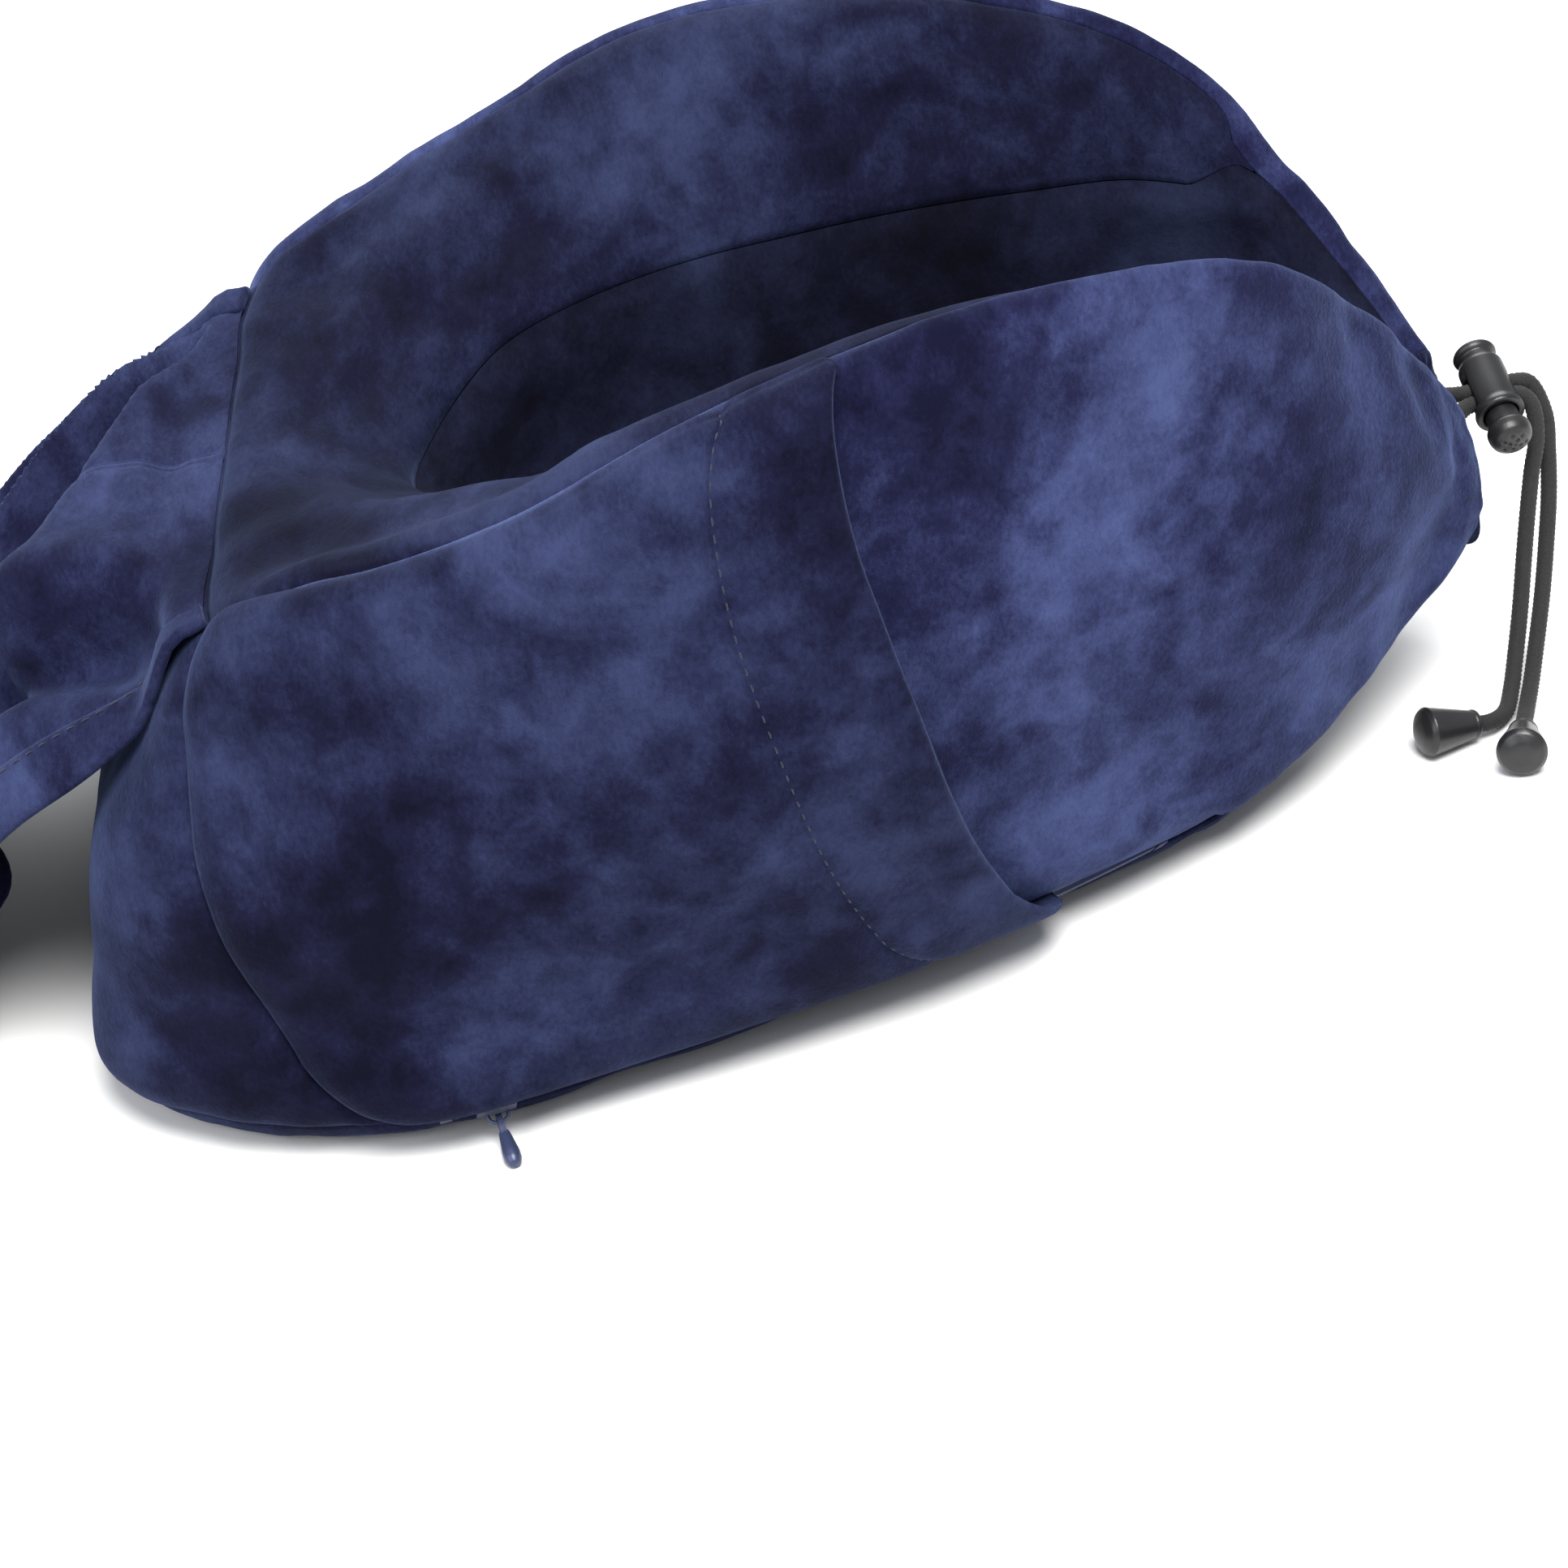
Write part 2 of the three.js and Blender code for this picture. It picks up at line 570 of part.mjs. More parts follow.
function bailGeometry() {
  const rise = sliderTop + BAIL_RISE;
  const path = new THREE.CatmullRomCurve3([
    new THREE.Vector3(-BAIL_REACH, 0, sliderTop + FIT_GAP),
    new THREE.Vector3(-BAIL_REACH + 0.3, 0, rise - 0.6),
    new THREE.Vector3(-BAIL_REACH + 1.2, 0, rise),
    new THREE.Vector3(BAIL_REACH - 1.2, 0, rise),
    new THREE.Vector3(BAIL_REACH - 0.3, 0, rise - 0.6),
    new THREE.Vector3(BAIL_REACH, 0, sliderTop + FIT_GAP),
  ]);
  const ring = new THREE.Shape().absarc(0, 0, BAIL_RADIUS, 0, 2 * Math.PI);
  return new THREE.ExtrudeGeometry(ring, { steps: 10, curveSegments: 3, extrudePath: path });
}

add('zip_bail', bailGeometry(), ENAMEL, zipFrame(sliderAngle));

// The puller is a slim drop with an eye that swings on the bail. It lies outwards, on the floor.
const PULLER_LENGTH = 10.7;
const PULLER_HEAD = 1.6;
const PULLER_EYE = 0.9;
const PULLER_HALF_WIDTH = 1.5;
const PULLER_THICKNESS = 1.2;
const PULLER_DROOP = THREE.MathUtils.degToRad(-20);
const bailHeight = sliderTop + BAIL_RISE;

function pullerShape() {
  const shoulder = THREE.MathUtils.degToRad(40);
  const neck = [PULLER_HEAD * Math.cos(shoulder), PULLER_HEAD * Math.sin(shoulder)];
  const foot = PULLER_HEAD - PULLER_LENGTH;
  const wide = PULLER_HALF_WIDTH * 1.3;
  const shape = new THREE.Shape();
  shape.absarc(0, 0, PULLER_HEAD, shoulder, Math.PI - shoulder);
  shape.bezierCurveTo(-1.9, 0, -0.9, -3, -1.1, -4.5);
  shape.bezierCurveTo(-wide, -7.5, -wide, foot, 0, foot);
  shape.bezierCurveTo(wide, foot, wide, -7.5, 1.1, -4.5);
  shape.bezierCurveTo(0.9, -3, 1.9, 0, ...neck);
  shape.holes.push(new THREE.Path().absarc(0, 0, PULLER_EYE, 0, 2 * Math.PI, true));
  return shape;
}

// Its flat face is square to the track, because its eye is threaded on the bail's bar.
function pullerMatrix() {
  const frame = zipFrame(sliderAngle);
  const pivot = new THREE.Vector3(0, 0, bailHeight).applyMatrix4(frame);
  const along = new THREE.Vector3().setFromMatrixColumn(frame, 0);
  const level = new THREE.Vector3(Math.sin(sliderAngle), -Math.cos(sliderAngle), 0);
  const drop = level.multiplyScalar(Math.cos(PULLER_DROOP)).setZ(Math.sin(PULLER_DROOP));
  const up = drop.clone().negate();
  return new THREE.Matrix4().makeBasis(up.clone().cross(along), up, along).setPosition(pivot);
}

const pullerGeometry = new THREE.ExtrudeGeometry(pullerShape(), {
  depth: PULLER_THICKNESS, bevelEnabled: false, curveSegments: 6,
});
pullerGeometry.translate(0, 0, -PULLER_THICKNESS / 2);
add('zip_puller', pullerGeometry, ENAMEL, pullerMatrix());

// ---- Tips: end cap, eyelet ----------------------------------------------------------------------
const TIP_CENTRE = new THREE.Vector3(197, 10.5, 55);
const TIP_OUTWARD = new THREE.Vector3(0.77, -0.64, 0).normalize();
const CORD_HOLE = CORD_DIAMETER / 2 + FIT_GAP;
const EYELET_WALL = 0.8;
const EYELET_FLANGE = 4.2;
const EYELET_FLANGE_THICKNESS = 1.1;
const CAP_DEPTH = 0.13;         // depth of the tip's cap, in stations
const CAP_INSET = -0.4;         // the cap sits inside the panels' ends

function facing(direction, place) {
  const turn = new THREE.Quaternion().setFromUnitVectors(new THREE.Vector3(0, 1, 0), direction);
  return new THREE.Matrix4().makeRotationFromQuaternion(turn).setPosition(place);
}

function mirrored(vector, sign) {
  return new THREE.Vector3(vector.x, sign * vector.y, vector.z);
}

function tipCapGeometry(sign) {
  const cap = sweptGeometry(1, FOAM_SIDES, (share, round) => {
    const depth = LAST - 0.02 - CAP_DEPTH * (sign > 0 ? 1 - share : share);
    return bodyOffset(sign * depth, 4 * round, CAP_INSET);
  });
  const hole = new THREE.CylinderGeometry(
    CORD_HOLE + EYELET_WALL + FIT_GAP, CORD_HOLE + EYELET_WALL + FIT_GAP, 24, 14,
  );
  const place = facing(mirrored(TIP_OUTWARD, sign), mirrored(TIP_CENTRE, sign));
  return solidGeometry(solid(cap).subtract(solid(hole, place)));
}

function eyeletGeometry() {
  const barrel = CORD_HOLE + EYELET_WALL;
  const profile = [
    [CORD_HOLE, -3.2], [barrel, -3.2], [barrel, FIT_GAP], [EYELET_FLANGE, FIT_GAP],
    [EYELET_FLANGE, FIT_GAP + 0.5], [EYELET_FLANGE - 0.7, FIT_GAP + EYELET_FLANGE_THICKNESS],
    [CORD_HOLE, FIT_GAP + EYELET_FLANGE_THICKNESS], [CORD_HOLE, -3.2],
  ];
  return new THREE.LatheGeometry(profile.map(([x, y]) => new THREE.Vector2(x, y)), 14);
}

for (const [side, sign] of [['left', 1], ['right', -1]]) {
  const place = facing(mirrored(TIP_OUTWARD, sign), mirrored(TIP_CENTRE, sign));
  add(`tip_cap_${side}`, tipCapGeometry(sign), VELOUR);
  add(`tip_eyelet_${side}`, eyeletGeometry(), BLACK_PLASTIC, place);
}

// ---- Cord lock ----------------------------------------------------------------------------------
// A barrel with a sprung plunger. Its own axis starts at the closed end and points at the button.
const LOCK_BASE = new THREE.Vector3(209.8, 11, 62.4);
const LOCK_AXIS = new THREE.Vector3(0.1, -0.91, -0.4).normalize();
const LOCK_LENGTH = 19.5;
const LOCK_RADIUS = 5;
const LOCK_BORE = 3.9;
const LOCK_TRAVEL = 2.5;
const PLUNGER_RADIUS = 3.6;
const PLUNGER_START = 7.5;
const PLUNGER_FLOOR = 1.5;
const CORD_PITCH = CORD_DIAMETER + FIT_GAP;
const SLOT_START = PLUNGER_START + PLUNGER_FLOOR;
const SLOT_END = SLOT_START + FIT_GAP + 2 * CORD_PITCH;
const SLOT_WIDTH = CORD_DIAMETER + 3 * FIT_GAP;
const BUTTON_START = LOCK_LENGTH + LOCK_TRAVEL + 0.8;
const BUTTON_RADIUS = 4.8;
const LOCK_HOLE_AXIS = new THREE.Vector3(1, 0, 0).projectOnPlane(LOCK_AXIS).normalize();

// y along the lock, x along the cord hole.
const lockMatrix = new THREE.Matrix4().makeBasis(
  LOCK_HOLE_AXIS, LOCK_AXIS, LOCK_HOLE_AXIS.clone().cross(LOCK_AXIS),
).setPosition(LOCK_BASE);

function turned(profile, segments) {
  return new THREE.LatheGeometry(profile.map(([x, y]) => new THREE.Vector2(x, y)), segments);
}

function slotSolid(start, end) {
  const slot = new THREE.BoxGeometry(4 * LOCK_RADIUS, end - start, SLOT_WIDTH);
  return solid(slot.translate(0, (start + end) / 2, 0));
}

const barrelBody = solid(turned([
  [0, 0], [3.2, 0.15], [4.6, 0.8], [4.9, 1.6], [4.6, 2.4], [4, 3], [4.1, 3.8], [LOCK_RADIUS, 5.4],
  [LOCK_RADIUS, 17], [LOCK_RADIUS + 0.5, 18.3], [LOCK_RADIUS + 0.4, 19.2], [LOCK_RADIUS - 0.1, LOCK_LENGTH],
  [LOCK_BORE, LOCK_LENGTH], [LOCK_BORE, 4.9], [3.1, 4.3], [3.1, 1.4], [0, 1.4],
], 18));
add('lock_barrel', solidGeometry(
  barrelBody.subtract(slotSolid(SLOT_START, SLOT_END)),
), BLACK_PLASTIC, lockMatrix);

const plungerBody = solid(turned([
  [0, PLUNGER_START], [PLUNGER_RADIUS, PLUNGER_START], [PLUNGER_RADIUS, BUTTON_START],
  [BUTTON_RADIUS - 0.6, BUTTON_START + 0.1], [BUTTON_RADIUS, BUTTON_START + 1],
  [BUTTON_RADIUS, BUTTON_START + 2.6], [BUTTON_RADIUS - 0.5, BUTTON_START + 4],
  [BUTTON_RADIUS - 2, BUTTON_START + 5.2], [0, BUTTON_START + 5.7],
], 18));
add('lock_plunger', solidGeometry(
  plungerBody.subtract(slotSolid(SLOT_START, SLOT_END + LOCK_TRAVEL)),
), BLACK_PLASTIC, lockMatrix);

const SPRING_WIRE = 0.35;
const SPRING_RADIUS = 2.2;
const SPRING_TURNS = 3;

class Helix extends THREE.Curve {
  getPoint(share, target = new THREE.Vector3()) {
    const angle = 2 * Math.PI * SPRING_TURNS * share;
    const low = 1.4 + SPRING_WIRE + FIT_GAP;
    const high = PLUNGER_START - SPRING_WIRE - FIT_GAP;
    const rise = THREE.MathUtils.lerp(low, high, share);
    return target.set(SPRING_RADIUS * Math.cos(angle), rise, SPRING_RADIUS * Math.sin(angle));
  }
}

const springWire = new THREE.Shape().absarc(0, 0, SPRING_WIRE, 0, 2 * Math.PI);
add('lock_spring', new THREE.ExtrudeGeometry(springWire, {
  steps: 30, curveSegments: 3, extrudePath: new Helix(),
}), STEEL, lockMatrix);

// ---- Cords and their bell ends ------------------------------------------------------------------
// Each cord comes out of a tip, crosses the lock and hangs to the floor.
function lockHole(offset, along) {
  const height = SLOT_START + FIT_GAP + CORD_DIAMETER / 2 + offset;
  return new THREE.Vector3(along, height, 0).applyMatrix4(lockMatrix);
}

const tipAxisPoint = (sign, distance) => mirrored(
  TIP_CENTRE.clone().addScaledVector(TIP_OUTWARD, distance), sign,
);

const BELL_LENGTH = 14;
const BELL_RECESS = 3;          // depth of the hole that takes the cord's end
const BELLS = {
  left: {
    mouth: new THREE.Vector3(202.6, -53.5, 3.6),
    direction: new THREE.Vector3(-0.24, -0.96, 0.16).normalize(),
  },
  right: {
    mouth: new THREE.Vector3(194, -47.4, 3.6),
    direction: new THREE.Vector3(-0.95, -0.27, 0.16).normalize(),
  },
};

const bellPoint = (side, distance) => (
  BELLS[side].mouth.clone().addScaledVector(BELLS[side].direction, distance)
);

const HANGING_ROUTES = {
  left: [
    [219.8, 1.8, 57.2], [222.4, -0.6, 50.5], [222, -3.6, 42.6], [220.8, -7.4, 34], [218.6, -12.2, 25],
    [215.8, -18.2, 16], [212.4, -25.6, 8.6], [209, -34, 3.9], [206, -42, 2.3],
  ],
  right: [
    [219, -3.2, 54.6], [219.2, -6, 48.4], [217, -9, 41], [214.8, -12.4, 32.6], [212.6, -16.4, 24],
    [210.2, -21.4, 15.4], [207.2, -28, 8], [204.2, -35.6, 3.6], [201.4, -42, 2.3],
  ],
};

function cordRoute(side, sign, hole) {
  const hanging = HANGING_ROUTES[side].map((point) => new THREE.Vector3(...point));
  return [
    tipAxisPoint(sign, -7), tipAxisPoint(sign, -2), tipAxisPoint(sign, 4),
    lockHole(hole, -6), lockHole(hole, 0), lockHole(hole, 5.6), ...hanging,
    bellPoint(side, -3.5), bellPoint(side, BELL_RECESS - FIT_GAP),
  ];
}

// Local y runs from the mouth, where the cord enters, to the domed end.
function bellGeometry() {
  return turned([
    [0, BELL_RECESS], [CORD_HOLE, BELL_RECESS], [CORD_HOLE, 0], [2.8, 0], [3.2, 0.4], [5.3, 11.4],
    [5.4, 11.8], [4.6, 12.8], [2.6, 13.7], [0, BELL_LENGTH],
  ], 16);
}

function cordSection() {
  const section = new THREE.Shape();
  const corners = Array.from({ length: CORD_SIDES }, (_, i) => (2 * Math.PI * i) / CORD_SIDES);
  section.setFromPoints(corners.map((angle) => (
    new THREE.Vector2(Math.cos(angle), Math.sin(angle)).multiplyScalar(CORD_DIAMETER / 2)
  )));
  return section;
}

for (const [side, sign, hole] of [['left', 1, 0], ['right', -1, CORD_PITCH]]) {
  const curve = new THREE.CatmullRomCurve3(cordRoute(side, sign, hole), false, 'centripetal');
  const steps = Math.round(curve.getLength() / CORD_STEP);
  add(`cord_${side}`, new THREE.ExtrudeGeometry(cordSection(), { steps, extrudePath: curve }), CORD);
  const { mouth, direction } = BELLS[side];
  add(`cord_bell_${side}`, bellGeometry(), BLACK_PLASTIC, facing(direction, mouth));
}

export default group;
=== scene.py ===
# The looks of a U-shaped travel neck pillow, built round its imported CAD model.
# Metres outside, millimetres in the shape formulas; the frame is the CAD model's own.
import math

import bmesh
import bpy
import numpy as np
from mathutils import Matrix, Vector


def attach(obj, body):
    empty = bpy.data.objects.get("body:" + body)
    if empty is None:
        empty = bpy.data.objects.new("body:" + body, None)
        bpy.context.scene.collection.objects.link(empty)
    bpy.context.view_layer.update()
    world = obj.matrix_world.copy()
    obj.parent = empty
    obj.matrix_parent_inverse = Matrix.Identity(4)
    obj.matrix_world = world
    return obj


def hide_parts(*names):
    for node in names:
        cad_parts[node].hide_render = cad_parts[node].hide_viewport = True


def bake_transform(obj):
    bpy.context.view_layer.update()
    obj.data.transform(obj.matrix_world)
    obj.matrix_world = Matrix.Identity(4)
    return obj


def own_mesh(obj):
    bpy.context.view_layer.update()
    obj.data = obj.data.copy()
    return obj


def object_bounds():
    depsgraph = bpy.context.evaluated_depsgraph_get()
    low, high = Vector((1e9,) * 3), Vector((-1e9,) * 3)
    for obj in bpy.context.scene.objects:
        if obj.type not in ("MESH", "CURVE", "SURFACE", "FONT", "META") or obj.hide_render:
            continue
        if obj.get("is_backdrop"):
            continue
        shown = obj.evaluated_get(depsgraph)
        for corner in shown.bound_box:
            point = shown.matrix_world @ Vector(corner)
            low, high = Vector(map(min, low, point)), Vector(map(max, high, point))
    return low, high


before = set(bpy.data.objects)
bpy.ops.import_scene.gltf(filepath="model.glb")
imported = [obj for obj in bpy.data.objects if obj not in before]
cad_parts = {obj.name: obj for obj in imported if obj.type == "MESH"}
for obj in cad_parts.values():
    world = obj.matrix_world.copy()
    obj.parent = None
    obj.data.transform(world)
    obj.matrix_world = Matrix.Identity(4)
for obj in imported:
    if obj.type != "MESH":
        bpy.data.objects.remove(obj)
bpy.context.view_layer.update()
MM = 0.001


def placed(name, data):
    """A new object in the scene."""
    obj = bpy.data.objects.new(name, data)
    bpy.context.scene.collection.objects.link(obj)
    return obj


def bake(obj):
    """Applies the object's modifiers."""
    bpy.context.view_layer.update()
    baked = bpy.data.meshes.new_from_object(obj.evaluated_get(bpy.context.evaluated_depsgraph_get()))
    obj.modifiers.clear()
    obj.data = baked


# ---- Camera -----------------------------------------------
AZIMUTH = math.radians(1.01873)
ELEVATION = math.radians(29.98905)
ROLL = math.radians(9.96890)
FOCAL_WIDTHS = 2.47869
SENSOR = 36.0

flat_back = Vector((math.sin(AZIMUTH), -math.cos(AZIMUTH), 0)) * math.cos(ELEVATION)
back = flat_back + Vector((0, 0, math.sin(ELEVATION)))
level = Vector((math.cos(AZIMUTH), math.sin(AZIMUTH), 0))
upright = back.cross(level)
camera_up = upright * math.cos(ROLL) + level * math.sin(ROLL)
camera_right = level * math.cos(ROLL) - upright * math.sin(ROLL)
camera_data = bpy.data.cameras.new("camera")
camera_data.sensor_width = SENSOR
camera_data.lens = FOCAL_WIDTHS * SENSOR
camera = placed("camera", camera_data)
camera.matrix_world = Matrix((
    (camera_right.x, camera_up.x, back.x, 0.059226),
    (camera_right.y, camera_up.y, back.y, -0.760047),
    (camera_right.z, camera_up.z, back.z, 0.428340),
    (0, 0, 0, 1),
))
bpy.context.scene.camera = camera


# ---- Material helpers -------------------------------------
class Nodes:
    """A small wrapper that makes and links a material's nodes."""

    def __init__(self, name):
        self.material = bpy.data.materials.new(name)
        self.material.use_nodes = True
        self.tree = self.material.node_tree
        self.shader = self.tree.nodes["Principled BSDF"]

    def node(self, kind, links=None, **settings):
        made = self.tree.nodes.new(kind)
        for key, value in settings.items():
            if key in made.inputs:
                made.inputs[key].default_value = value
            else:
                setattr(made, key, value)
        for key, source in (links or {}).items():
            self.tree.links.new(source, made.inputs[key])
        return made

    def noise(self, scale, detail=3.0, roughness=0.5, distortion=0.0, vector=None):
        made = self.node("ShaderNodeTexNoise")
        made.inputs["Scale"].default_value = scale
        made.inputs["Detail"].default_value = detail
        made.inputs["Roughness"].default_value = roughness
        made.inputs["Distortion"].default_value = distortion
        self.tree.links.new(vector or self.place(), made.inputs["Vector"])
        return made.outputs["Fac"]

    def place(self, scale=(1, 1, 1), rotation=(0, 0, 0)):
        where = self.node("ShaderNodeTexCoord")
        mapping = self.node("ShaderNodeMapping", {"Vector": where.outputs["Object"]})
        mapping.inputs["Scale"].default_value = scale
        mapping.inputs["Rotation"].default_value = rotation
        return mapping.outputs["Vector"]

    def math(self, operation, a, b=0.0, c=0.0):
        made = self.tree.nodes.new("ShaderNodeMath")
        made.operation = operation
        for socket, value in zip(made.inputs, (a, b, c)):
            if isinstance(value, (int, float)):
                socket.default_value = value
            else:
                self.tree.links.new(value, socket)
        return made.outputs[0]

    def ramp(self, factor, *stops):
        made = self.tree.nodes.new("ShaderNodeValToRGB")
        ramp = made.color_ramp
        while len(ramp.elements) < len(stops):
            ramp.elements.new(0.5)
        for element, (position, color) in zip(ramp.elements, stops):
            element.position = position
            element.color = (*color, 1) if len(color) == 3 else color
        self.tree.links.new(factor, made.inputs["Fac"])
        return made.outputs["Color"]

    def bump(self, height, distance, strength=1.0, normal=None):
        made = self.tree.nodes.new("ShaderNodeBump")
        made.inputs["Distance"].default_value = distance
        made.inputs["Strength"].default_value = strength
        self.tree.links.new(height, made.inputs["Height"])
        if normal is not None:
            self.tree.links.new(normal, made.inputs["Normal"])
        return made.outputs["Normal"]

    def set(self, socket, value):
        if hasattr(value, "is_output"):
            self.tree.links.new(value, self.shader.inputs[socket])
        else:
            self.shader.inputs[socket].default_value = value


PILE_TONES = [(0.0016, 0.0017, 0.0085), (0.005, 0.0055, 0.021), (0.011, 0.0138, 0.041), (0.026, 0.034, 0.086)]
PILE_STOPS = [0.37, 0.46, 0.53, 0.66]


def velour_material(name, painted_light_factor):
    """Brushed short pile: soft patches where the nap lies over, and a fine streaked fibre.

    The factor lightens or darkens the whole panel, pile colours and sheen weight alike: painted light and
    painted shade for how light falls on that panel.
    """
    m = Nodes(name)
    stops = [(stop, tuple(painted_light_factor * c for c in color)) for stop, color in zip(PILE_STOPS, PILE_TONES)]
    patches = m.noise(13, 2, 0.5, 0.35)
    brushed = m.noise(40, 3, 0.55, 0.5, m.place((1, 0.6, 1.25), (0.3, 0.5, 0.2)))
    strokes = m.noise(150, 2, 0.5, 0.3, m.place((1, 0.45, 1), (0.6, 0.1, 0.9)))
    fibre = m.noise(1100, 3, 0.65, 0.2, m.place((1, 0.4, 0.75), (0.4, 0.2, 0.7)))
    grain = m.noise(3800, 2, 0.6)
    lay = m.math("MULTIPLY_ADD", patches, 0.44, m.math("MULTIPLY", brushed, 0.38))
    lay = m.math("ADD", lay, m.math("MULTIPLY", strokes, 0.18))
    lay = m.math("ADD", lay, m.math("MULTIPLY_ADD", fibre, 0.16, -0.08))
    lay = m.math("ADD", lay, m.math("MULTIPLY_ADD", grain, 0.08, -0.04))
    m.set("Base Color", m.ramp(lay, *stops))
    m.set("Roughness", 0.9)
    m.set("Specular IOR Level", 0.08)
    m.set("Sheen Weight", 0.14 * painted_light_factor)
    m.set("Sheen Roughness", 0.34)
    m.set("Sheen Tint", (0.3, 0.42, 0.85, 1))
    pile = m.bump(fibre, 0.0004, 0.6)
    m.set("Normal", m.bump(grain, 0.0002, 0.5, pile))
    return m.material


def moulded_material(name, color, roughness, texture=0.00005, scale=3200):
    m = Nodes(name)
    grain = m.noise(scale, 2, 0.6)
    wear = m.noise(90, 3, 0.5)
    lighter = tuple(min(1.0, c * 1.35 + 0.004) for c in color)
    m.set("Base Color", m.ramp(wear, (0.35, color), (0.75, lighter)))
    m.set("Roughness", m.math("MULTIPLY_ADD", wear, 0.14, roughness - 0.07))
    m.set("Normal", m.bump(grain, texture, 0.8))
    return m.material


def metal_material(name, color, roughness, metallic):
    m = Nodes(name)
    scratch = m.noise(700, 3, 0.6, 0, m.place((1, 0.1, 1)))
    lighter = tuple(min(1.0, c * 1.2) for c in color)
    m.set("Base Color", m.ramp(scratch, (0.4, color), (0.7, lighter)))
    m.set("Metallic", metallic)
    m.set("Roughness", m.math("MULTIPLY_ADD", scratch, 0.16, roughness - 0.08))
    m.set("Normal", m.bump(scratch, 0.00004, 0.5))
    return m.material


def woven_material(name, dark, light, scale, sheen):
    m = Nodes(name)
    thread = m.noise(scale, 2, 0.7)
    fuzz = m.noise(scale * 2.3, 2, 0.6)
    m.set("Base Color", m.ramp(thread, (0.35, dark), (0.65, light)))
    m.set("Roughness", 0.82)
    m.set("Sheen Weight", sheen)
    m.set("Sheen Roughness", 0.5)
    m.set("Normal", m.bump(fuzz, 0.00012, 0.8, m.bump(thread, 0.0002, 0.8)))
    return m.material


VELOUR = velour_material("velour", 1.0)
# Top panel: the velour darkened a little, painted shade on the upward-facing panel.
VELOUR_TOP_PAINTED_SHADE = velour_material("velour_top_painted_shade", 0.85)
# Side panels: the velour made much lighter, painted light on the side panels.
VELOUR_SIDE_PAINTED_LIGHT = velour_material("velour_side_painted_light", 1.75)
# Hood: the velour made lighter, painted light.
VELOUR_HOOD_PAINTED_LIGHT = velour_material("velour_hood_painted_light", 1.25)
# Neck panel: the velour made much darker, painted shade inside the collar.
VELOUR_NECK_PAINTED_SHADE = velour_material("velour_neck_painted_shade", 0.42)
# Foam core: the velour made darkest, painted shade inside the cover.
VELOUR_INSIDE_PAINTED_SHADE = velour_material("velour_inside_painted_shade", 0.3)
BLACK = moulded_material("black_plastic", (0.008, 0.008, 0.009), 0.36)
BELL = moulded_material("bell_plastic", (0.009, 0.009, 0.01), 0.3)
ENAMEL = metal_material("enamel", (0.03, 0.04, 0.09), 0.36, 0.25)
STEEL = metal_material("spring_steel", (0.6, 0.6, 0.62), 0.28, 1.0)
CORD = woven_material("cord", (0.004, 0.004, 0.0045), (0.014, 0.014, 0.015), 2600, 0.06)
TAPE = woven_material("zip_tape", (0.005, 0.006, 0.018), (0.014, 0.018, 0.045), 1800, 0.12)
COIL = moulded_material("zip_coil", (0.03, 0.037, 0.09), 0.35)
THREAD = woven_material("thread", (0.005, 0.006, 0.018), (0.016, 0.02, 0.048), 3000, 0.1)


# ---- Shape helpers ----------------------------------------
def smooth(value, low, high):
    share = np.clip((value - low) / (high - low), 0, 1)
    return share * share * (3 - 2 * share)


def catmull(points):
    """A centripetal curve through the points, called with shares from 0 to 1."""
    points = np.array(points, float)
    count = len(points)
    extended = np.vstack([2 * points[0] - points[1], points, 2 * points[-1] - points[-2]])

    def at(share):
        place = np.clip(share, 0, 1) * (count - 1)
        k = np.minimum(np.floor(place).astype(int), count - 2)
        w = (place - k)[..., None]
        p0, p1, p2, p3 = (extended[k + i] for i in range(4))
        d0, d1, d2 = (
            np.maximum(np.sum((b - a) ** 2, -1, keepdims=True) ** 0.25, 1e-4)
            for a, b in ((p0, p1), (p1, p2), (p2, p3))
        )
        t1 = ((p1 - p0) / d0 - (p2 - p0) / (d0 + d1) + (p2 - p1) / d1) * d1
        t2 = ((p2 - p1) / d1 - (p3 - p1) / (d1 + d2) + (p3 - p2) / d2) * d1
        return p1 + t1 * w + (-3 * p1 + 3 * p2 - 2 * t1 - t2) * w**2 + (2 * p1 - 2 * p2 + t1 + t2) * w**3

    return at


LATTICE = np.random.default_rng(7).random((32, 32, 32))


def value_noise(points, size, seed=0):
    """Smooth noise from -1 to 1 whose features are about size across."""
    q = points / size + 37.3 * (seed + 1)
    base = np.floor(q).astype(int)
    f = q - base
    f = f * f * (3 - 2 * f)
    total = np.zeros(points.shape[:-1])
    for corner in range(8):
        offset = np.array([corner & 1, (corner >> 1) & 1, corner >> 2])
        weight = np.prod(np.where(offset == 1, f, 1 - f), axis=-1)
        i, j, k = np.moveaxis((base + offset) % 32, -1, 0)
        total += weight * LATTICE[i, j, k]
    return 2 * total - 1


def layered_noise(points, *layers):
    """Noises added together, each given as (height, size, seed)."""
    return sum(height * value_noise(points, size, seed) for height, size, seed in layers)


def cumulative(points, axis):
    """Distance in from the low and the high end of the grid along an axis."""
    steps = np.linalg.norm(np.diff(points, axis=axis), axis=-1)
    pad = [(0, 0), (0, 0)]
    pad[axis] = (1, 0)
    low = np.pad(np.cumsum(steps, axis=axis), pad)
    return low, np.take(low, [-1], axis=axis) - low


